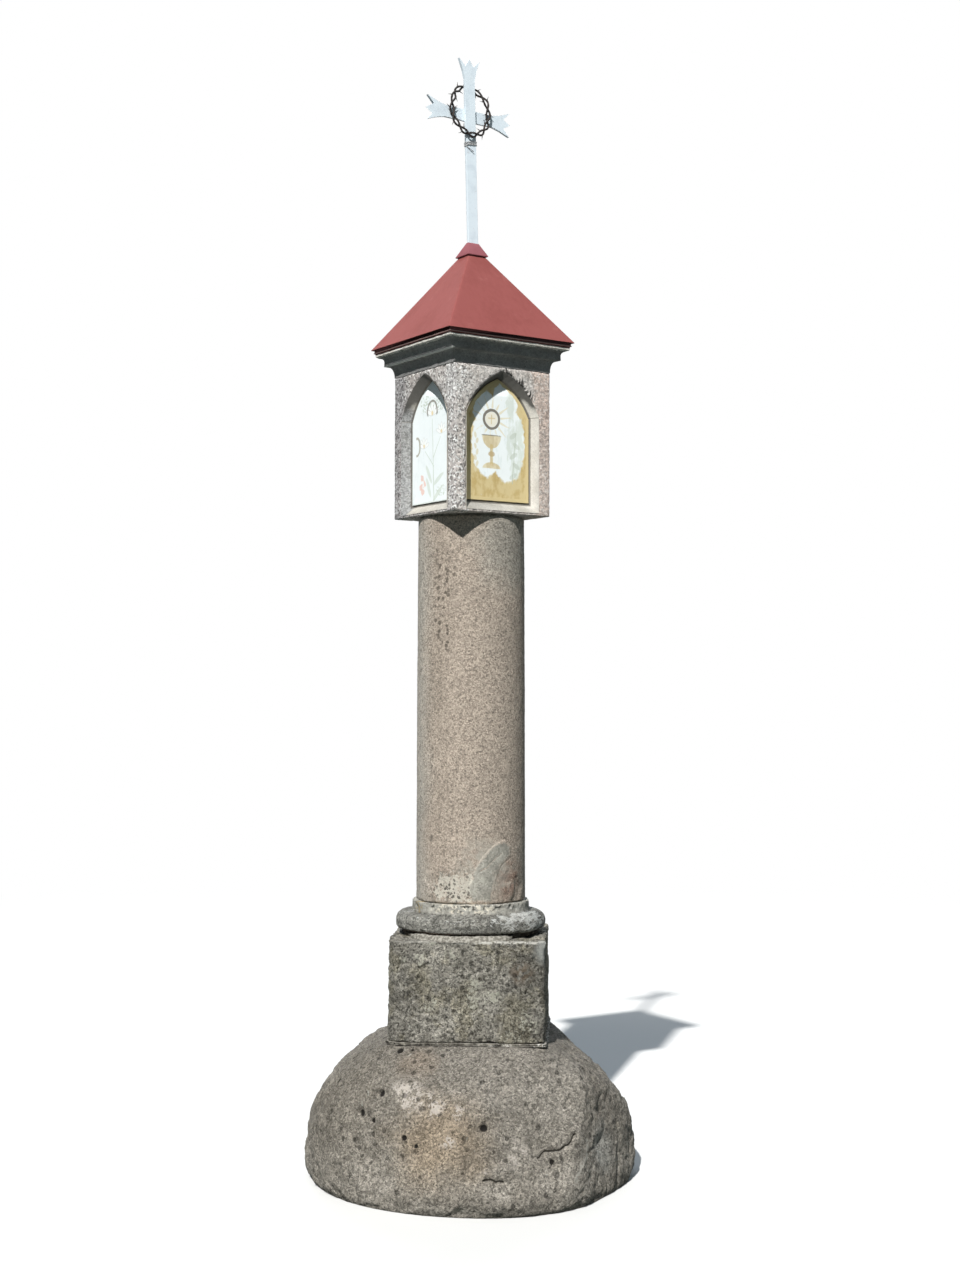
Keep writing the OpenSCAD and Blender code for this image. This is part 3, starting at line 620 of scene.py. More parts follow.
def base_wear(p, n):
    lip = -0.007 * chips(p * 34, 0.12, 0.2) if hypot(p.x, p.y) > COLLAR_OUT and p.z > COLLAR_TOP else 0
    broad = bumps(p * 9) * 0.0020 - 0.0010
    grit = bumps(p * 60, 0.5) * 0.0014
    layers = 0.0018 * noise.noise(Vector((p.x * 7, p.y * 7, p.z * 60)))
    return broad + grit + lip + layers - pits(p, 60, 0.18, 0.003) - pits(p, 26, 0.09, 0.006)


work = even(cad_copy("column_base"), 0.0042)
weather(work, base_wear)
finish, where, colour, relief = stone("base stone", (0.290, 0.285, 0.255), (0.165, 0.160, 0.142), 0.0056,
                                      1.8, 8.0, 0.8)
up = axis(Tint.node("ShaderNodeNewGeometry", take="Normal"), 2)
height = axis(where, 2)
colour = tinge(colour, 0.55, rise(cloud(where * (1, 1, 3), 12, 4, 0.65), 0.50, 0.62) * 0.7)
upward = rise(up, -0.1, 0.6)
stray = ragged(where, 13, 0.08)
near = around(stray, (0.10, -0.23, 0.865), 0.090, 0.6)
near = near + around(stray, (-0.03, -0.245, 0.865), 0.035, 0.6) * 0.8
colour, pale_crust = lichen(where * (1, 1, 2.6), colour, (0.68, 0.685, 0.65), 34, 0.36,
                            upward * 0.22 + near * 0.85)
colour, _ = lichen(where + (4, 2, 2), colour, (0.48, 0.48, 0.43), 38, 0.36)
colour, black_crust = lichen(where + (1, 6, 8), colour, (0.045, 0.042, 0.036), 50, 0.365)
collar = rise(height, 0.884, 0.890)
grey = blend((0.36, 0.35, 0.31), (0.54, 0.525, 0.465), rise(cloud(where, 50, 4, 0.65), 0.42, 0.58))
colour = blend(colour, grey, collar * 0.65)
rim = rise(height + (cloud(where, 50, 4, 0.7) - 0.5) * 0.05, 0.913, 0.921)
rim = rim * rise(cloud(where, 60, 4, 0.65), 0.42, 0.50)
foot_side = around(where, (-0.125, -0.150, 0.915), 0.105, 0.4)
colour = blend(colour, (0.66, 0.635, 0.56), rim * (0.35 + 0.5 * foot_side))
cream = foot_side * rise(height, 0.886, 0.894) * rise(cloud(where + (1, 3, 5), 70, 4, 0.7), 0.50, 0.56)
colour = blend(colour, (0.76, 0.71, 0.60), cream * 0.95)
colour = blend(colour, (0.07, 0.062, 0.05),
               foot_side * rise(cloud(where + (6, 3, 5), 85, 3, 0.6), 0.60, 0.64) * 0.8)
gold = around(ragged(where, 45, 0.045), (-0.194, 0.022, 0.912), 0.024, 0.7)
gold = gold * rise(cloud(where, 90, 3), 0.48, 0.55)
colour = blend(colour, (0.42, 0.32, 0.15), gold)
red_line = rise(height + cloud(where, 30, 3) * 0.01, 0.838, 0.832) * rise(axis(where, 0), -0.06, -0.12)
colour = tinge(colour, (1.0, 0.62, 0.50), red_line * 0.7)
# Painted shade: the torus is darker, by up to half, towards its foot where it meets the joint.
colour = colour * (0.5 + 0.5 * rise(height + cloud(where, 30, 3) * 0.012, 0.828, 0.842))
torus_right = rise(axis(where, 0), 0.04, 0.16) * (1 - collar)
colour = tinge(colour, (0.88, 0.89, 0.90), torus_right)
relief = relief + pale_crust * 0.3 - black_crust * 0.2
place_piece("column_foot", work, complete(finish, colour, 0.92, relief, 0.0042, shine=0.2), "base_stone",
            "column_base")


# Shaft. One round stone that tapers a little towards its top, dressed smooth and now granular, beige
# with dark specks. A piece broken out of its foot is made up with grey mortar, smoothed out to nothing.
def shaft_wear(p, n):
    if abs(n.z) > 0.8:
        return 0
    broad = bumps(p * 5) * 0.0006 - 0.0003
    grit = bumps(p * 70, 0.5) * 0.0006
    foot = -0.004 * chips(p * 20, 0.12, 0.15) * held((1.03 - p.z) / 0.05)
    return broad + grit + foot - pits(p, 60, 0.12, 0.0018)


def shaft_face(name):
    """The shaft's stone with its stains and a painted lighter back half, which go on across the repair."""
    finish, where, colour, relief = stone(name, (0.438, 0.371, 0.305), (0.372, 0.316, 0.260), 0.0044, 1.15,
                                          3.2, 0.45)
    height = axis(where, 2)
    dark_run = rise(cloud(where * (1, 1, 0.22), 9, 4, 0.6), 0.52, 0.68)
    colour = tinge(colour, (0.80, 0.80, 0.79), dark_run * 0.5)
    # Painted light: the shaft's back half, its left edge as seen from the front left included, is painted
    # lighter and bluer.
    painted_light_back_half = rise(axis(ragged(where, 5, 0.10), 1), -0.06, 0.06)
    colour = tinge(colour, (1.15, 1.27, 1.36), painted_light_back_half * 0.8)
    green = around(ragged(where, 9, 0.16), (0.06, -0.17, 2.10), 0.13, 0.6) + around(
        ragged(where, 9, 0.10), (0.14, -0.10, 1.05), 0.08, 0.6) * 0.6
    colour = tinge(colour, (0.90, 0.98, 1.02), green)
    down = [(-0.160, -0.085, 2.07), (-0.164, -0.075, 1.95), (-0.163, -0.080, 1.78)]
    run = trail(ragged(where, 16, 0.06), down, 0.056)
    run = run * rise(cloud(where, 22, 3, 0.6), 0.36, 0.52)
    colour = blend(colour, (0.105, 0.090, 0.072),
                   run * blots(ragged(where, 80, 0.011), 66, 0.58, 0.42) * 0.85)
    colour = blend(colour, (0.15, 0.132, 0.108), blots(ragged(where, 80, 0.006), 96, 0.24, 0.36) * 0.65)
    warm = around(ragged(where, 12, 0.09), (0.030, -0.182, 1.005), 0.060, 0.6)
    colour = tinge(colour, (0.74, 0.61, 0.58), warm * rise(cloud(where, 36, 4, 0.65), 0.36, 0.56))
    smear = around(ragged(where, 14, 0.09), (-0.055, -0.175, 1.04), 0.085, 0.6)
    colour = blend(colour, (0.43, 0.405, 0.35), smear * rise(cloud(where, 26, 4, 0.65), 0.36, 0.52) * 0.7)
    stray = ragged(where, 14, 0.06)
    foot_left = around(stray, (-0.130, -0.130, 0.965), 0.060, 0.6)
    foot_left = foot_left.most(around(stray, (-0.160, -0.090, 0.975), 0.050, 0.6))
    colour, pale_crust = lichen(where, colour, (0.64, 0.605, 0.52), 75, 0.34, foot_left * 1.2)
    specks = blots(ragged(where, 60, 0.020), 80, 0.55, 0.42)
    colour = blend(colour, (0.10, 0.09, 0.075), foot_left * specks * 0.9)
    stray = ragged(where, 34, 0.035)
    drips = around(stray, (-0.169, -0.073, 1.013), 0.016, 0.8)
    drips = drips + around(stray, (-0.181, -0.035, 1.133), 0.010, 0.8)
    colour = blend(colour, (0.12, 0.108, 0.09), drips * rise(cloud(where, 80, 3), 0.40, 0.52) * 0.8)
    near_foot = rise(height, 1.02, 0.93) * 0.4
    colour, _ = lichen(where + (1, 6, 8), colour, (0.15, 0.136, 0.115), 50, 0.30, near_foot)
    return finish, where, colour, relief + pale_crust * 0.3


work = even(cad_copy("shaft", "shaft_patch"), 0.0055)
weather(work, shaft_wear)
finish, where, colour, relief = shaft_face("shaft stone")
place_piece("column", work, complete(finish, colour, 0.92, relief, 0.0022, shine=0.2), "shaft_stone", "shaft")

patch_crack = [(-0.075, -0.168, 1.028), (-0.050, -0.177, 1.04), (-0.030, -0.181, 1.065), (0.0, -0.184, 1.085)]
POCKET_EDGE = 0.174
work = even(cad_copy("shaft_patch"), 0.004)
feather = work.verts.layers.float.new("feather")
work.normal_update()
outer = [v for v in work.verts if v.normal.dot(Vector((v.co.x, v.co.y, 0)).normalized()) > 0.6]
skin = set(outer)
rim = [v for v in work.verts if v not in skin and hypot(v.co.x, v.co.y) > POCKET_EDGE]
outline = kdtree.KDTree(len(rim))
for k, v in enumerate(rim):
    outline.insert(v.co, k)
outline.balance()
moves = []
for v in outer:
    gap = outline.find(v.co)[2]
    v[feather] = min(1, gap / 0.020)
    share = min(1, gap / 0.014)
    split = cracks(v.co + noise.noise_vector(v.co * 40) * 0.004, [patch_crack], 0.004, 0.003)
    smooth = bumps(v.co * 16, 0.8, 2) * 0.0004
    moves.append((v, v.normal * (-0.0022 + 0.0036 * share * (2 - share) + smooth - split)))
for v, move in moves:
    v.co += move
finish, where, colour, relief = shaft_face("repair mortar")
mottle = rise(cloud(where, 9, 4, 0.6), 0.38, 0.62)
smooth = blend((0.252, 0.244, 0.211), (0.322, 0.312, 0.272), mottle)
smooth = smooth * (1 + 0.55 * (grains(where, 190) - 0.5))
smooth = smooth * (0.86 + 0.28 * rise(cloud(where, 34, 4, 0.65), 0.36, 0.64))
warm = around(ragged(where, 12, 0.09), (0.030, -0.182, 1.005), 0.050, 0.6)
smooth = tinge(smooth, (0.68, 0.57, 0.54), warm * rise(cloud(where, 36, 4, 0.65), 0.36, 0.56))
made_up = Tint.node("ShaderNodeAttribute", {"attribute_name": "feather"}, take="Fac")
made_up = rise(made_up + (cloud(where, 45, 4, 0.65) - 0.5) * 1.3, 0.34, 0.80)
colour = blend(colour, smooth, made_up * 0.92)
split = trail(ragged(where, 40, 0.010), patch_crack, 0.0026) * rise(cloud(where, 60, 3), 0.38, 0.50)
colour = blend(colour, (0.15, 0.135, 0.112), split * 0.8)
place_piece("shaft_repair", work, complete(finish, colour, 0.9, relief * 0.5, 0.0016, shine=0.25),
            "repair_mortar", "shaft_patch")


# Head block. A square block of pinkish-grey stone with coarse exposed grain, bedded on the shaft, with
# a pointed-arch niche cut in each face. Its arrises have crumbled and soot has run down from the cornice.
work = cad_copy("head_joint")
finish, where = begin("head bed")
colour = blend((0.16, 0.145, 0.12), (0.36, 0.33, 0.28), rise(cloud(where, 50, 4, 0.65), 0.35, 0.65))
place_piece("head_bed", work, complete(finish, colour, 0.95, cloud(where, 300, 4, 0.7), 0.002, shine=0.2),
            "mortar", "head_joint", crease=40)

head_low, head_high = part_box("head_block")
HEAD_HALF, NICHE_HALF = 0.192, 0.145
SPRING, ARCH_FOOT = head_low.z + 0.332, head_low.z + 0.011
ARCH_ASIDE, ARCH_MIDDLE, ARCH_RADIUS = 0.10105, SPRING - 0.1062, 0.268


def past_arch(across, z):
    """How far a point on a face lies outside the pointed opening; it is negative inside."""
    across = abs(across)
    out = max(across - NICHE_HALF, ARCH_FOOT - z)
    if z > SPRING:
        out = max(out, hypot(across + ARCH_ASIDE, z - ARCH_MIDDLE) - ARCH_RADIUS)
    return out


def head_wear(p, n):
    across = p.y if abs(p.x) > abs(p.y) else p.x
    depth = HEAD_HALF - max(abs(p.x), abs(p.y))
    if 0.006 < depth < 0.06 and past_arch(across, p.z) < 0.004:
        return 0
    rim = past_arch(across, p.z)
    broad = bumps(p * 8) * 0.0010 - 0.0002
    grit = bumps(p * 80, 0.5) * 0.0014
    crumble = 0
    if depth < 0.006 and rim < 0.012:
        teeth = 2.6 if p.y < -0.18 and 0.0 < p.x < 0.135 and p.z > 2.585 else 1
        crumble = -0.005 * teeth * max(0, noise.noise(p * 95) + 0.05) * (1 - rim / 0.012)
    return broad + grit + crumble - pits(p, 85, 0.30, 0.0025)


work = even(cad_copy("head_block"), 0.0045)
for v in work.verts:
    wear = 0.0012 + 0.006 * max(0, 0.12 + bumps(v.co * 55, 0.8, 2))
    low_corner = (v.co - Vector((-HEAD_HALF, -HEAD_HALF, head_low.z))).length
    wear += 0.008 * max(0, 1 - low_corner / 0.05)
    v.co += worn_block(v.co, HEAD_HALF, head_high.z, head_low.z, wear)
weather(work, head_wear)
for v in work.verts:
    rim = past_arch(v.co.x, v.co.z)
    if v.co.y < 0.007 - HEAD_HALF and 0.0 < v.co.x < 0.14 and v.co.z > 2.588 and -0.002 < rim < 0.011:
        outwards = Vector((v.co.x + ARCH_ASIDE, 0.09, v.co.z - ARCH_MIDDLE)).normalized()
        v.co += outwards * (0.014 * max(0, noise.noise(v.co * 105) + 0.12) * (1 - max(0, rim) / 0.011))
finish, where, colour, relief = stone("head stone", (0.675, 0.635, 0.595), (0.555, 0.52, 0.485), 0.0060,
                                      0.85, 6.0, 0.5)
height = axis(where, 2)
left_side = rise(axis(where, 0), -0.182, -0.187)
right_strip = rise(axis(ragged(where, 20, 0.05), 0), 0.105, 0.135) * (1 - left_side)
pink = rise(cloud(where + (2, 2, 2), 9, 4), 0.40, 0.60)
colour = tinge(colour, (1.02, 0.92, 0.87), right_strip)
colour = tinge(colour, (1.04, 0.96, 0.92), pink * 0.5)
colour = tinge(colour, (0.80, 0.81, 0.83), left_side)
# Painted shadow: dark teeth along the outer edge of the front arch's upper right, as the shadows of its
# crumbled arris.
aside, above = axis(where, 0) + ARCH_ASIDE, height - ARCH_MIDDLE
rim = (aside ** 2.0 + above ** 2.0) ** 0.5 - ARCH_RADIUS
turned = aside.reckon("ARCTAN2", above)
spiky = Tint.node("ShaderNodeCombineXYZ", {}, {0: turned * ARCH_RADIUS + rim * 0.7, 1: rim * 0.15})
tooth_shadows = rise(cloud(spiky, 95, 2, 0.5) - rim * 8, 0.42, 0.45) * rise(rim, -0.002, 0.0)
for which, low, high in ((1, -0.186, -0.188), (2, 2.590, 2.606), (0, 0.004, 0.012), (0, 0.145, 0.130)):
    tooth_shadows = tooth_shadows * rise(axis(where, which), low, high)
speck = grains(ragged(where, 70, 0.004), 172)
arris_near = rise(axis(where, 0), -0.10, -0.15)
salt = rise(speck, 0.80, 0.85) * (0.40 + 0.45 * arris_near)
pepper = rise(speck, 0.24, 0.19) * (0.30 + 0.45 * arris_near)
colour = blend(colour, (0.86, 0.845, 0.81), salt)
colour = blend(colour, (0.125, 0.117, 0.11), pepper)
far_side = left_side * rise(axis(ragged(where, 14, 0.06), 1), 0.08, 0.17)
colour = tinge(colour, (0.66, 0.67, 0.70), far_side)
high_up = rise(height + cloud(where, 9, 3) * 0.3, 2.68, 2.92)
run = rise(cloud(where * (1, 1, 0.10), 26, 4, 0.6), 0.50, 0.66) * high_up
colour = tinge(colour, 0.6, run * 0.6)
colour, _ = lichen(where + (1, 6, 8), colour, (0.13, 0.12, 0.11), 46, 0.32)
foot = rise(height + cloud(where, 24, 3) * 0.01, head_low.z + 0.004, head_low.z + 0.016)
colour = colour * (0.90 + 0.10 * foot)
near_arris = rise(axis(where, 0), -0.11, -0.165) * rise(axis(where, 1), -0.11, -0.165)
colour = tinge(colour, (1.10, 1.12, 1.14), near_arris)
# The painted tooth shadows over the front arch go on last.
colour = blend(colour, (0.035, 0.033, 0.030), tooth_shadows * 0.92)
place_piece("head", work, complete(finish, colour, 0.9, relief, 0.0026, shine=0.2), "head_stone",
            "head_block")


# Niche render. Lime render trowelled smooth on the reveals, the sloping sill and the back of each
# niche, with a day joint at the springing of the arch, soot and painted shade under the point, and
# painted shade with some dirt in the corner round each board.
finish, where = begin("niche render")
height = axis(where, 2)
mottle = cloud(where, 14, 5, 0.6)
colour = blend((0.53, 0.50, 0.44), (0.66, 0.63, 0.57), rise(mottle, 0.33, 0.66))
colour = colour * (1 + 0.20 * (grains(where, 300) - 0.5))
left_niche = rise(axis(where, 0), -0.1466, -0.1474)
sand = grains(ragged(where, 90, 0.004), 190)
left_reveal = left_niche * rise(axis(where, 1), 0.10, 0.12)
colour = blend(colour, colour * (0.50, 0.53, 0.58) * (0.62 + 0.76 * sand), left_reveal)
off_joint = height - SPRING + (cloud(where, 40, 2) - 0.5) * 0.004
joint = rise((off_joint ** 2.0) ** 0.5, 0.0016, 0.0006)
colour = blend(colour, (0.20, 0.18, 0.15), joint * 0.7)
face = reduce(Tint.most, [(axis(where, k) ** 2.0) ** 0.5 for k in (0, 1)])
up = axis(Tint.node("ShaderNodeNewGeometry", take="Normal"), 2)
front_sill = rise(up, 0.3, 0.5) * rise(axis(where, 1), -0.12, -0.14)
colour = tinge(colour, (1.20, 1.16, 1.13), front_sill)
# Soot and painted shade: the arch heads above the springing are painted near black, lower at the outer edge,
# as a shadow line would fall.
soot_shade_level = height + (cloud(where, 22, 4) - 0.5) * 0.05 + 0.028 * rise(face, 0.165, 0.190)
colour = blend(colour, (0.075, 0.072, 0.066), rise(soot_shade_level, SPRING + 0.040, SPRING + 0.068) * 0.9)
# Painted shade, with some dirt: a dark line in the corner round each board.
corner = rise(face + (cloud(where, 70, 3) - 0.5) * 0.004, 0.1625, 0.1595)
colour = blend(colour, (0.10, 0.09, 0.075), corner * 0.8)
colour, _ = lichen(where, colour, (0.22, 0.205, 0.18), 45, 0.33)
render_finish = complete(finish, colour, 0.85, cloud(where, 160, 4, 0.7) + mottle - joint, 0.0012, shine=0.25)
SIDES = "front", "right", "back", "left"
for side in SIDES:
    work = cad_copy(f"niche_render_{side}")
    place_piece(f"niche_lining_{side}", work, render_finish, "niche_render", f"niche_render_{side}",
                crease=35)


# Pictures. Thin painted boards, one on the back of each niche, with plain church ornament: a cup with
# rays, a lily, a dove and a star. Matt paint in pale blue-white, ochre and grey-green, somewhat faded.
def oval(at, across, up, wide, tall, turn=0.0, soft=0.0012):
    """1 inside an oval on the board; sizes are half widths in metres."""
    du, dv = at[0] - across, at[1] - up
    if turn:
        c, s = cos(radians(turn)), sin(radians(turn))
        du, dv = du * c + dv * s, dv * c - du * s
    out = ((du / wide) ** 2.0 + (dv / tall) ** 2.0) ** 0.5
    edge = soft / min(wide, tall)
    return rise(out, 1 + edge, 1 - edge)


def ring(at, across, up, wide, tall, thick):
    """1 on an oval line."""
    return oval(at, across, up, wide, tall) * (1 - oval(at, across, up, wide - thick, tall - thick))


def stroke(at, a, b, thick, tip=None):
    """1 on a brush stroke from a to b, which may thin towards its tip."""
    ex, ey = b[0] - a[0], b[1] - a[1]
    du, dv = at[0] - a[0], at[1] - a[1]
    share = Tint.node("ShaderNodeClamp", {}, {0: (du * ex + dv * ey) / (ex * ex + ey * ey)})
    gap = ((du - share * ex) ** 2.0 + (dv - share * ey) ** 2.0) ** 0.5
    wide = thick if tip is None else thick + share * (tip - thick)
    return rise(gap - wide, 0.0008, -0.0008)


PAINT_MIDDLE = SPRING - 0.035
BOARD_FOOT, BOARD_INSET = -0.252, 0.018


def board(name, mirror, along):
    """Starts a board's paint: its finish, its place, and across and up from its middle, close and loose."""
    finish, where = begin(name)
    close, loose = ((axis(p, along) * mirror, axis(p, 2) - PAINT_MIDDLE)
                    for p in (ragged(where, 35, 0.005), ragged(where, 55, 0.024)))
    return finish, where, close, loose


def frame_band(at, width):
    """1 on a band along the board's edge, where the board is a pointed arch."""
    side = (at[0] ** 2.0) ** 0.5
    above = (at[1] + (PAINT_MIDDLE - ARCH_MIDDLE)).most(0.1024)
    out = ((side + ARCH_ASIDE) ** 2.0 + above ** 2.0) ** 0.5 - (ARCH_RADIUS - BOARD_INSET)
    return rise(out.most(BOARD_FOOT - at[1]), -width - 0.0015, -width + 0.0015)


def masses(at, shapes):
    """1 on any of some ovals, each brushed in with a loose edge."""
    return reduce(Tint.most, [oval(at, *shape, soft=0.003) for shape in shapes])


OCHRE, BROWN, CREAM = (0.67, 0.55, 0.29), (0.13, 0.105, 0.07), (0.86, 0.83, 0.72)


def age(finish, where, colour):
    """Fades the paint and lays dust and small losses over it."""
    dust = cloud(where, 30, 4, 0.6)
    colour = colour * (0.95 + 0.08 * dust)
    losses = rise(cloud(where, 90, 3, 0.6), 0.70, 0.74)
    colour = blend(colour, (0.66, 0.64, 0.58), losses * 0.6)
    height = axis(where, 2)
    colour = tinge(colour, (0.80, 0.78, 0.74), rise(height + dust * 0.05, 2.29, 2.25) * 0.4)
    brush = cloud(where * (1, 1, 0.3), 420, 2)
    return complete(finish, colour, 0.62, brush, 0.0003, shine=0.35)


finish, where, at, loose = board("cup picture", 1, 0)
wash = cloud(where, 22, 4, 0.6)
brush = cloud(where * (1, 1, 0.28), 60, 4, 0.65)
colour = blend(OCHRE, (0.54, 0.40, 0.165), rise(wash * 0.5 + brush * 0.5, 0.44, 0.60))
pale = masses(loose, ((-0.040, -0.055, 0.062, 0.120), (0.040, -0.060, 0.068, 0.128),
                      (0.0, -0.02, 0.085, 0.10), (-0.052, 0.055, 0.044, 0.060), (0.030, 0.082, 0.048, 0.066)))
colour = blend(colour, blend((0.90, 0.955, 0.955), (0.78, 0.85, 0.84), rise(brush, 0.54, 0.66) * 0.8), pale)
green_side = masses(loose, ((0.072, -0.055, 0.034, 0.120), (0.052, 0.075, 0.018, 0.040)))
colour = blend(colour, (0.70, 0.765, 0.70), green_side * rise(brush, 0.38, 0.52) * 0.85)
CUP_ACROSS, DISC_UP = -0.024, 0.020


def spoke(degrees, inner, outer, across, up):
    """The ends of a line that runs outwards from a point on the board."""
    a = radians(degrees)
    return [(across + reach * cos(a), up + reach * sin(a)) for reach in (inner, outer)]


rays = [stroke(at, *spoke(360 * k / 14 + 8, 0.040, 0.080, CUP_ACROSS, DISC_UP), 0.0040, 0.0008)
        for k in range(14)]
colour = blend(colour, (0.76, 0.66, 0.40), reduce(Tint.most, rays) * 0.6 * rise(wash, 0.36, 0.5))
outline = ring(at, CUP_ACROSS, DISC_UP, 0.035, 0.035, 0.0095) * rise(brush, 0.30, 0.40)
colour = blend(colour, BROWN, outline * 0.9)
colour = blend(colour, CREAM, oval(at, CUP_ACROSS, DISC_UP, 0.0245, 0.0245))
for a, b in (((CUP_ACROSS, 0.006), (CUP_ACROSS, 0.034)),
             ((CUP_ACROSS - 0.012, 0.023), (CUP_ACROSS + 0.012, 0.023))):
    colour = blend(colour, (0.66, 0.55, 0.30), stroke(at, a, b, 0.0020) * 0.8)
gold = blend((0.76, 0.67, 0.44), (0.62, 0.50, 0.26), rise(brush, 0.42, 0.58))
cup = oval(at, CUP_ACROSS, -0.034, 0.038, 0.044) * rise(at[1], -0.033, -0.036)
foot = oval(at, CUP_ACROSS, -0.146, 0.036, 0.022) * rise(at[1], -0.146, -0.143)
cup = cup + foot + stroke(at, (CUP_ACROSS, -0.07), (CUP_ACROSS, -0.13), 0.0060)
colour = blend(colour, gold, cup * 0.85)
colour = blend(colour, (0.50, 0.38, 0.19), oval(at, CUP_ACROSS, -0.096, 0.013, 0.009) * 0.8)
brim = stroke(at, (CUP_ACROSS - 0.038, -0.034), (CUP_ACROSS + 0.038, -0.034), 0.0018)
colour = blend(colour, BROWN, brim * rise(brush, 0.36, 0.5) * 0.8)
for k in range(5):
    colour = blend(colour, (0.52, 0.58, 0.49), oval(
        at, 0.064 + 0.012 * (k % 2), -0.165 + 0.034 * k, 0.017, 0.0075, 35 - 70 * (k % 2)) * 0.55)
colour = blend(colour, (0.48, 0.53, 0.44), stroke(at, (0.060, -0.19), (0.074, -0.02), 0.0020, 0.0010) * 0.6)
for k in range(7):
    colour = blend(colour, (0.74, 0.66, 0.44), oval(
        at, -0.088 + 0.007 * (k % 2), -0.150 + 0.019 * k, 0.0050, 0.010, 14 - 28 * (k % 2)) * 0.7)
colour = blend(colour, OCHRE, frame_band([a * 0.4 + b * 0.6 for a, b in zip(loose, at)], 0.012) * 0.95)
cup_finish = age(finish, where, colour)

finish, where, at, loose = board("lily picture", -1, 1)
wash = cloud(where, 22, 4, 0.6)
brush = cloud(where * (1, 1, 0.28), 60, 4, 0.65)
colour = blend((0.86, 0.915, 0.92), (0.77, 0.835, 0.84), rise(brush * 0.6 + wash * 0.4, 0.50, 0.66) * 0.8)
leafage = masses(loose, ((-0.040, 0.085, 0.034, 0.030), (0.036, 0.075, 0.036, 0.030),
                         (0.055, -0.215, 0.03, 0.018)))
colour = blend(colour, (0.46, 0.53, 0.42), leafage * rise(cloud(where, 120, 3, 0.6), 0.50, 0.57) * 0.7)
stem = reduce(Tint.most, [stroke(at, *line) for line in (
    ((0.012, -0.245), (0.0, 0.03), 0.0030, 0.0015), ((0.008, -0.10), (0.052, -0.035), 0.0022, 0.0012),
    ((0.010, -0.13), (-0.045, -0.075), 0.0022, 0.0012))])
colour = blend(colour, (0.56, 0.63, 0.54), stem * 0.75)
for across, up, turn in ((0.040, -0.175, 50), (-0.022, -0.20, -48), (0.034, -0.225, 58),
                         (-0.020, -0.155, -40)):
    colour = blend(colour, (0.62, 0.69, 0.61), oval(at, across, up, 0.036, 0.0080, turn - 20) * 0.7)
for across, up, size in ((0.0, 0.045, 1.0), (0.058, -0.022, 0.8), (-0.052, -0.062, 0.8)):
    for k in range(5):
        a = 90 + (k - 2) * 34
        cx, cy = across + 0.021 * size * cos(radians(a)), up + 0.021 * size * sin(radians(a))
        colour = blend(colour, BROWN, oval(at, cx, cy, 0.0235 * size, 0.0085 * size, a) * 0.30)
        colour = blend(colour, (0.93, 0.955, 0.94), oval(at, cx, cy, 0.0215 * size, 0.0066 * size, a))
    colour = blend(colour, (0.80, 0.64, 0.32), oval(at, across, up + 0.005, 0.006 * size, 0.008 * size) * 0.8)
colour = blend(colour, BROWN, ring(at, 0.0, 0.055, 0.034, 0.040, 0.0075) * rise(at[1], 0.038, 0.046) * 0.75)
colour = blend(colour, (0.28, 0.25, 0.16), ring(at, -0.098, -0.055, 0.024, 0.034, 0.0080) * rise(
    at[0], -0.104, -0.100) * 0.75)
for across, up in ((-0.062, -0.165), (-0.048, -0.185), (-0.070, -0.195), (-0.058, -0.21)):
    colour = blend(colour, (0.80, 0.50, 0.42), oval(loose, across, up, 0.010, 0.012) * 0.75)
colour = blend(colour, (0.74, 0.80, 0.77), frame_band(at, 0.005) * 0.7)
lily_finish = age(finish, where, colour)

finish, where, at, loose = board("dove picture", -1, 0)
wash = cloud(where, 22, 4, 0.6)
colour = blend((0.72, 0.82, 0.86), (0.60, 0.71, 0.76), rise(wash, 0.42, 0.62))
colour = blend(colour, OCHRE, rise(at[1], -0.185, -0.190) * 0.9)
for k in range(9):
    shine = stroke(at, *spoke(15 * k - 150, 0.03, 0.16, 0.0, 0.03), 0.002, 0.007)
    colour = blend(colour, (0.78, 0.68, 0.40), shine * 0.7)
for across, up, wide, tall, turn in ((0.0, 0.035, 0.017, 0.042, 0), (0.045, 0.055, 0.048, 0.016, 24),
                                     (-0.045, 0.055, 0.048, 0.016, -24), (0.0, 0.085, 0.030, 0.020, 0)):
    colour = blend(colour, (0.90, 0.92, 0.91), oval(at, across, up, wide, tall, turn))
colour = blend(colour, (0.90, 0.92, 0.91), oval(at, 0.0, -0.008, 0.011, 0.012))
colour = blend(colour, (0.75, 0.45, 0.20), stroke(at, (0.0, -0.018), (0.0, -0.030), 0.003, 0.0006))
for k in range(5):
    colour = blend(colour, (0.40, 0.48, 0.38),
                   oval(at, -0.060 + 0.030 * k, -0.140 - 0.012 * (k % 2), 0.020, 0.010, 30 - 60 * (k % 2)))
colour = blend(colour, (0.30, 0.35, 0.27), stroke(at, (-0.080, -0.150), (0.085, -0.140), 0.0022))
colour = blend(colour, OCHRE, frame_band(at, 0.009))
dove_finish = age(finish, where, colour)

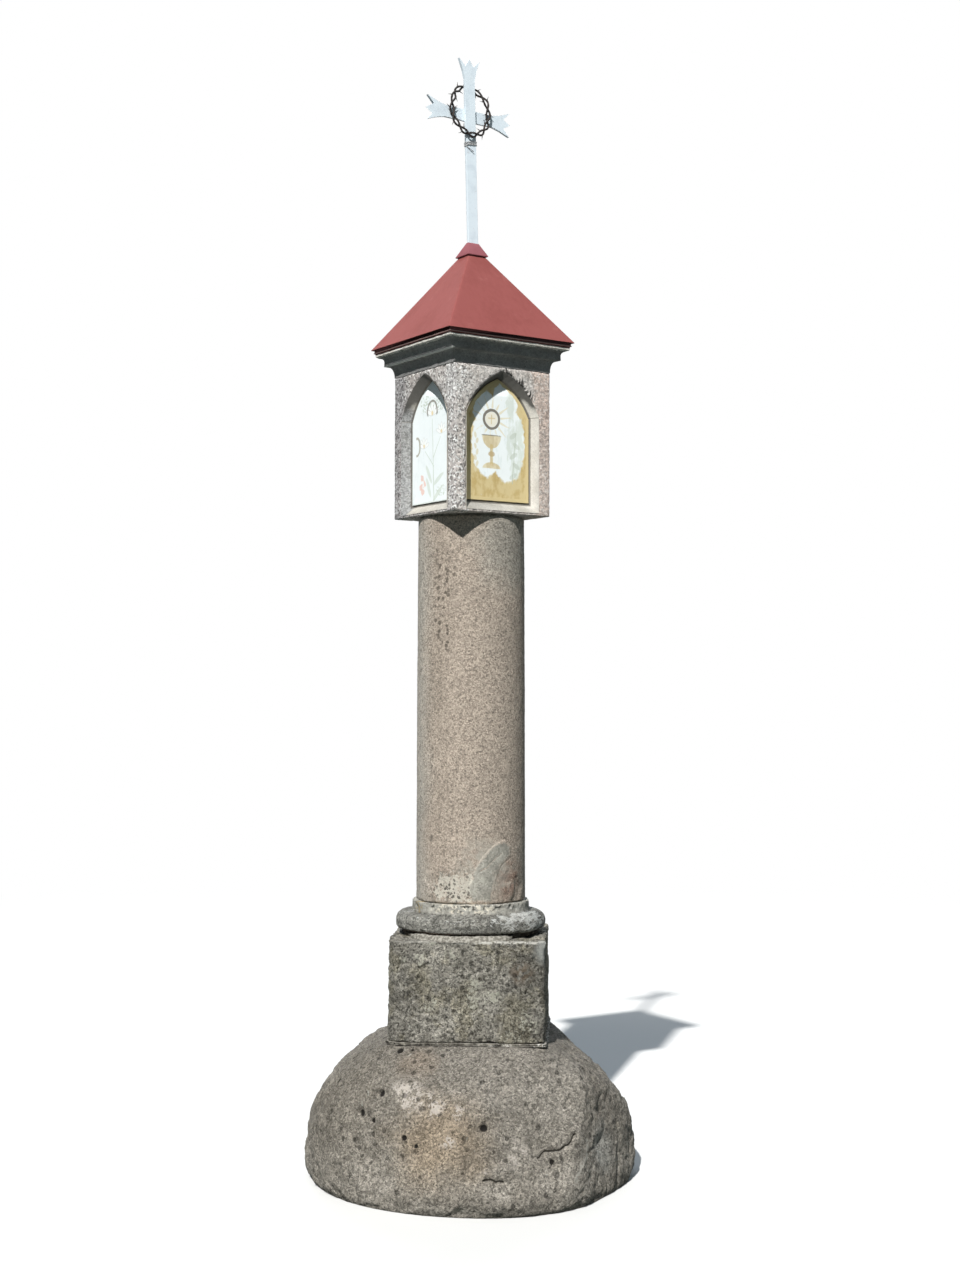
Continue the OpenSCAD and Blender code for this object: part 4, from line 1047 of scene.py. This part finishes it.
finish, where, at, loose = board("star picture", 1, 1)
wash = cloud(where, 22, 4, 0.6)
colour = blend((0.66, 0.76, 0.80), (0.50, 0.62, 0.70), rise(wash, 0.42, 0.62))
for k in range(8):
    reach = 0.066 if k % 2 == 0 else 0.040
    point = stroke(at, *spoke(45 * k + 90, 0, reach, 0.0, 0.015), 0.011, 0.0006)
    colour = blend(colour, (0.84, 0.74, 0.42), point)
colour = blend(colour, CREAM, oval(at, 0.0, 0.015, 0.012, 0.012))
for k in range(4):
    colour = blend(colour, (0.78, 0.84, 0.86), ring(at, -0.075 + 0.05 * k, -0.215, 0.036, 0.042, 0.006))
for k in range(3):
    colour = blend(colour, (0.88, 0.90, 0.88),
                   oval(at, -0.06 + 0.06 * k, -0.115 + 0.012 * (k % 2), 0.036, 0.013))
colour = blend(colour, OCHRE, frame_band(at, 0.009))
star_finish = age(finish, where, colour)


def rounded(work, steep, width, segments=2, longer=0.0):
    """Rounds the edges that turn by more than steep, in radians, and are longer than this."""
    edges = [e for e in work.edges if e.calc_face_angle(0) > steep and e.calc_length() > longer]
    bmesh.ops.bevel(work, geom=edges, offset=width, segments=segments, profile=0.5, affect="EDGES",
                    clamp_overlap=True, material=-1)
    return work


for side, finish in (("front", cup_finish), ("left", lily_finish), ("back", dove_finish),
                     ("right", star_finish)):
    work = rounded(cad_copy(f"picture_{side}"), 0.9, 0.0007, 1)
    place_piece(f"painted_board_{side}", work, finish, "picture_paint", f"picture_{side}", crease=30)


# Cornice. A moulded course of stone on the head block: a hollow, a band, a small hollow and a fillet
# under the eaves. Rain has rounded its edges. What the roof keeps dry is painted darker and bluer, as
# soot and as painted shade; the fillet is pale mortar painted light as if lit, and a painted highlight
# lines the foot of the band on the left face.
def whole_faces(node):
    """A copy of a CAD node with its flat faces made whole again."""
    work = cad_copy(node)
    bmesh.ops.dissolve_limit(work, angle_limit=radians(1), verts=work.verts, edges=work.edges)
    return work


def sliced(work, along, places):
    """Cuts faces where planes cross them, at these distances from the middle."""
    along = Vector(along)
    for place in places:
        bmesh.ops.bisect_plane(work, geom=work.verts[:] + work.edges[:] + work.faces[:], dist=0.00001,
                               plane_co=along * place, plane_no=along)


work = whole_faces("cornice")
cornice_low, cornice_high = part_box("cornice")
for along in ((1, 0, 0), (0, 1, 0)):
    sliced(work, along, [k * 0.0105 + 0.0004 for k in range(-23, 24)])
bmesh.ops.triangulate(work, faces=[f for f in work.faces if len(f.verts) > 4])
weather(work, lambda p, n: bumps(p * 40, 0.7) * 0.0012 - 0.0006
        - 0.005 * max(0, noise.noise(p * 30 + Vector((4, 4, 4))) - 0.30) - pits(p, 60, 0.2, 0.002))
finish, where, colour, relief = stone("cornice stone", (0.46, 0.43, 0.38), (0.33, 0.305, 0.265), 0.0044,
                                      0.5, 7.0, 0.5)
height = axis(where, 2)
fillet_foot, band_top = cornice_high.z - 0.0100, cornice_low.z + 0.0395
# Soot and painted shade: below the fillet the stone is painted darker and bluer, as soot and as the shade
# under the eaves; the fillet above is pale mortar, painted lighter as if lit.
soot_and_shade = rise(height + (cloud(where, 45, 4, 0.7) - 0.5) * 0.012, fillet_foot, fillet_foot - 0.0015)
pale_and_lit_fillet = blend((0.74, 0.70, 0.63), (0.90, 0.87, 0.80), rise(cloud(where, 60, 3), 0.40, 0.58))
colour = blend(pale_and_lit_fillet, colour * (0.76, 0.81, 0.90), soot_and_shade)
# Painted highlight: a thin pale line at the foot of the band on the left face, where light would catch it
# under the fillet.
painted_lit_line = rise(height + cloud(where, 30, 3) * 0.003, band_top + 0.0070, band_top + 0.0060) * rise(
    height, band_top, band_top + 0.0007) * rise(axis(where, 0), -0.205, -0.212)
colour = blend(colour, (0.94, 0.93, 0.89), painted_lit_line * rise(cloud(where, 36, 3), 0.20, 0.28))
place_piece("cornice_course", work, complete(finish, colour, 0.92, relief, 0.004, shine=0.2),
            "cornice_stone", "cornice", crease=40)


# Roof. Four sheets of iron over a masonry core, folded at the hips, with a fascia strip under the eaves
# and a small cap over the point. All of it is brushed with matt oxide red, the undersides darker; the
# fascia is painted darker still as painted shade, with a painted highlight on its lower roll.
def oxide(name, tone, deep):
    """Matt brushed oxide-red paint, faded in patches and dirty where water stands."""
    finish, where = begin(name)
    fade = cloud(where, 3.2, 4, 0.55)
    brush = cloud(where * (1, 1, 0.22), 60, 3, 0.6)
    colour = blend(tone, deep, rise(fade * 0.75 + brush * 0.25, 0.40, 0.64))
    dust = cloud(where + (3, 3, 3), 18, 5, 0.65)
    colour = blend(colour, (0.40, 0.17, 0.15), rise(dust, 0.58, 0.74) * 0.18)
    specks = rise(cloud(where, 130, 2, 0.5), 0.70, 0.76)
    colour = blend(colour, deep, specks * 0.35)
    relief = cloud(where, 240, 3, 0.6) * 0.5 + brush
    return finish, where, colour, relief


sheet_low, sheet_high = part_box("roof_sheet_front")
eave_half, eave_z = sheet_high.x, sheet_low.z
POINT_HALF, SHEET_THICK = 0.028, 0.0018
work = bmesh.new()
middle = Matrix.Translation((0, 0, (sheet_high.z + eave_z) / 2))
bmesh.ops.create_cone(work, cap_ends=False, segments=4, radius1=eave_half * 2 ** 0.5,
                      radius2=POINT_HALF * 2 ** 0.5, depth=sheet_high.z - eave_z,
                      matrix=middle @ Matrix.Rotation(pi / 4, 4, "Z"))
bmesh.ops.bevel(work, geom=[e for e in work.edges if abs(e.verts[0].co.z - e.verts[1].co.z) > 0.1],
                offset=0.004, segments=3, profile=0.5, affect="EDGES", material=-1)
sliced(work, (0, 0, 1), [eave_z + (sheet_high.z - eave_z) * k / 16 for k in range(1, 16)])
for along in ((1, 0, 0), (0, 1, 0)):
    sliced(work, along, [k * 0.026 for k in range(-9, 10)])
work.normal_update()
for v in work.verts:
    flat = held(abs(abs(v.co.x) - abs(v.co.y)) / 0.05) * held((v.co.z - eave_z) / 0.03)
    v.co += v.normal * (noise.noise(v.co * 9) * 0.0008 - 0.0009) * flat
bmesh.ops.recalc_face_normals(work, faces=work.faces)
bmesh.ops.solidify(work, geom=work.faces[:], thickness=SHEET_THICK)
finish, where, colour, relief = oxide("roof paint", (0.250, 0.068, 0.062), (0.210, 0.052, 0.046))
roof_paint = complete(finish, colour, 0.72, relief, 0.0006, shine=0.3)
place_piece("roof_sheets", work, roof_paint, "roof_paint", *[f"roof_sheet_{side}" for side in SIDES],
            crease=50)

# Painted shade: the fascia is painted much darker than the roof, as the shade under the eaves.
finish, where, colour, relief = oxide("fascia paint", (0.115, 0.038, 0.036), (0.080, 0.026, 0.025))
height = axis(where, 2)
trim_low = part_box("eave_trim_front")[0].z
# Painted highlight: the fascia's lower roll is painted lighter, as if lit.
lip = rise(height, trim_low + 0.0050, trim_low + 0.0038)
colour = blend(colour, (0.42, 0.27, 0.25), lip * 0.8)
fascia_paint = complete(finish, colour, 0.7, relief, 0.0005, shine=0.3)
for side in SIDES:
    work = cad_copy(f"eave_trim_{side}")
    place_piece(f"fascia_{side}", work, fascia_paint, "trim_paint", f"eave_trim_{side}", crease=40)

finish, where, colour, relief = oxide("soffit paint", (0.16, 0.05, 0.045), (0.10, 0.03, 0.028))
soffit_paint = complete(finish, colour, 0.85, relief + cloud(where, 80, 4), 0.0015, shine=0.2)
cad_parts["roof_core"].data.materials.clear()
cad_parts["roof_core"].data.materials.append(soffit_paint)

work = rounded(whole_faces("roof_cap"), 0.4, 0.0012, longer=0.012)
finish, where, colour, relief = oxide("cap paint", (0.268, 0.087, 0.102), (0.235, 0.072, 0.085))
cap_paint = complete(finish, colour, 0.72, relief, 0.0006, shine=0.3)
place_piece("roof_point", work, cap_paint, "roof_paint", "roof_cap", crease=20)


# Cross. Two flat iron bars, the arm fixed behind the post, each end cut to three prongs. They are
# painted white; the paint is thin on the edges and rust has wept from the cuts.
finish, where = begin("cross paint")
mottle = cloud(where, 26, 4, 0.6)
colour = blend((0.76, 0.85, 0.91), (0.68, 0.765, 0.83), rise(mottle, 0.45, 0.68))
runs = rise(cloud(where * (1, 1, 0.12), 70, 3, 0.6), 0.60, 0.74)
colour = blend(colour, (0.52, 0.52, 0.49), runs * 0.35)
rust = rise(cloud(where + (1, 2, 3), 75, 4, 0.65), 0.66, 0.72)
colour = blend(colour, (0.34, 0.17, 0.08), rust * 0.5)
cross_paint = complete(finish, colour, 0.5, cloud(where, 150, 3), 0.0004, shine=0.4)
for name, node in (("cross_upright", "cross_post"), ("cross_bar", "cross_arm")):
    work = rounded(whole_faces(node), 0.9, 0.0012, longer=0.06)
    place_piece(name, work, cross_paint, "cross_paint", node, crease=20)


# Crown. Two heavy rusty wires twisted into an upright ring, which passes behind the post at its top and
# in front of it below. Pointed thorns stick out and in where a wire swings wide.
cap_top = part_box("roof_cap")[1].z
crown_z = cap_top + 0.634 - 0.194 + 0.016
CROWN_WIDE, CROWN_TALL, SWING, WIRE, TWISTS = 0.074, 0.085, 0.007, 0.0038, 6
BEHIND = 2 * WIRE + 0.0006
foot_of_post = Matrix.Translation((0, 0, cap_top))
lean = foot_of_post @ Matrix.Rotation(radians(-1.6), 4, "Y") @ foot_of_post.inverted()


def ease(share):
    """The share held between 0 and 1, with a slow start and end."""
    share = held(share)
    return share * share * (3 - 2 * share)


def crown_at(t, out=0.0, across=0.0):
    """A point of the ring, off its middle line by out and across."""
    y = -BEHIND + 2 * BEHIND * ease((sin(t) - 0.42) / 0.5) - 0.010 * ease((-sin(t) - 0.2) / 0.72)
    return lean @ Vector(((CROWN_WIDE + out) * cos(t), y + across, crown_z + (CROWN_TALL + out) * sin(t)))


def wire(name, points, thick, closed, finish, slot, *nodes):
    """A round wire through some points, as a mesh."""
    route = bpy.data.curves.new(name, "CURVE")
    route.dimensions = "3D"
    route.bevel_depth = 1.0
    route.bevel_resolution = 3
    route.use_fill_caps = True
    line = route.splines.new("POLY")
    line.points.add(len(points) - 1)
    line.use_cyclic_u = closed
    for k, (spot, point) in enumerate(zip(points, line.points)):
        point.co = (*spot, 1)
        point.radius = thick(k) if callable(thick) else thick
    holder = stand("wire", route)
    ready = holder.evaluated_get(bpy.context.evaluated_depsgraph_get())
    work = bmesh.new()
    work.from_mesh(ready.to_mesh())
    ready.to_mesh_clear()
    bpy.data.objects.remove(holder)
    bmesh.ops.remove_doubles(work, verts=work.verts, dist=0.00001)
    return place_piece(name, work, finish, slot, *nodes)


finish, where = begin("rusty wire")
scale = cloud(where, 170, 4, 0.65)
colour = blend((0.022, 0.019, 0.018), (0.070, 0.046, 0.034), rise(scale, 0.52, 0.70))
rusty = complete(finish, colour, 0.82, scale + cloud(where, 900, 2), 0.0008, shine=0.35)
steps = 240
for name, phase, node in (("crown_wire_a", 0, "crown_strand_a"), ("crown_wire_b", pi, "crown_strand_b")):
    route = []
    for k in range(steps):
        t = 2 * pi * k / steps
        turn = TWISTS * t + phase
        route.append(crown_at(t, SWING * cos(turn), (WIRE + 0.0002) * sin(turn)))
    wire(name, route, lambda k: WIRE * (0.93 + 0.07 * sin(k * 0.9 + phase)), True, rusty, "rusty_wire", node)

BARE_FOOT = 16
work = bmesh.new()
for k in range(2 * TWISTS):
    t = pi * k / TWISTS
    slant = 35 if k % 2 == 0 else -35
    if abs(k - 1.5 * TWISTS) * 180 / TWISTS <= BARE_FOOT:
        continue
    for side in (1, -1):
        foot = crown_at(t, side * (SWING + 0.0005), 0)
        point = Vector((cos(t), 0, sin(t))) * side
        tilt = Matrix.Rotation(radians(slant * side), 3, "Y")
        point = (lean.to_3x3() @ tilt @ point).normalized()
        turn = point.to_track_quat("Z", "Y").to_matrix().to_4x4()
        bmesh.ops.create_cone(work, cap_ends=True, segments=8, radius1=0.0022, radius2=0.0003, depth=0.0185,
                              matrix=Matrix.Translation(foot + point * 0.0085) @ turn)
place_piece("crown_spikes", work, rusty, "rusty_wire", "crown_thorns", crease=50)


# Tie. Soft galvanised wire wound four times round the post under the crown, its end left standing
# across the front, where it was twisted off.
finish, where = begin("tie wire")
dull = cloud(where, 260, 3, 0.6)
colour = blend((0.52, 0.53, 0.53), (0.27, 0.26, 0.25), rise(dull, 0.44, 0.62))
grey = complete(finish, colour, 0.5, dull, 0.0004, metal=0.3, shine=0.4)
tie_r, tie_gap = 0.0013, 0.0003
tie_x, tie_y, bend = 0.02 + tie_r + tie_gap, 0.005 + tie_r + tie_gap, 0.0012
tie_top = crown_z - CROWN_TALL - SWING - WIRE - tie_r - 0.0105
corners = [(bend - tie_x, -tie_y), (tie_x - bend, -tie_y), (tie_x, bend - tie_y), (tie_x, tie_y - bend),
           (tie_x - bend, tie_y), (bend - tie_x, tie_y), (-tie_x, tie_y - bend), (-tie_x, bend - tie_y)]
TURNS, PITCH, POST_Y = 4, 0.0036, -0.005
route = []
for k in range(8 * TURNS + 1):
    x, y = corners[k % 8]
    untidy = 0.0016 * sin(k * 2.1) + 0.0020 * (x / tie_x)
    route.append(lean @ Vector((x, y + POST_Y, tie_top - PITCH * k / 8 + untidy)))
route.append(lean @ Vector((0.0067, -tie_y + POST_Y - 0.0026, tie_top - PITCH * TURNS - 0.020)))
wire("tie", route, tie_r, False, grey, "grey_wire", "crown_tie")


low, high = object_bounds()
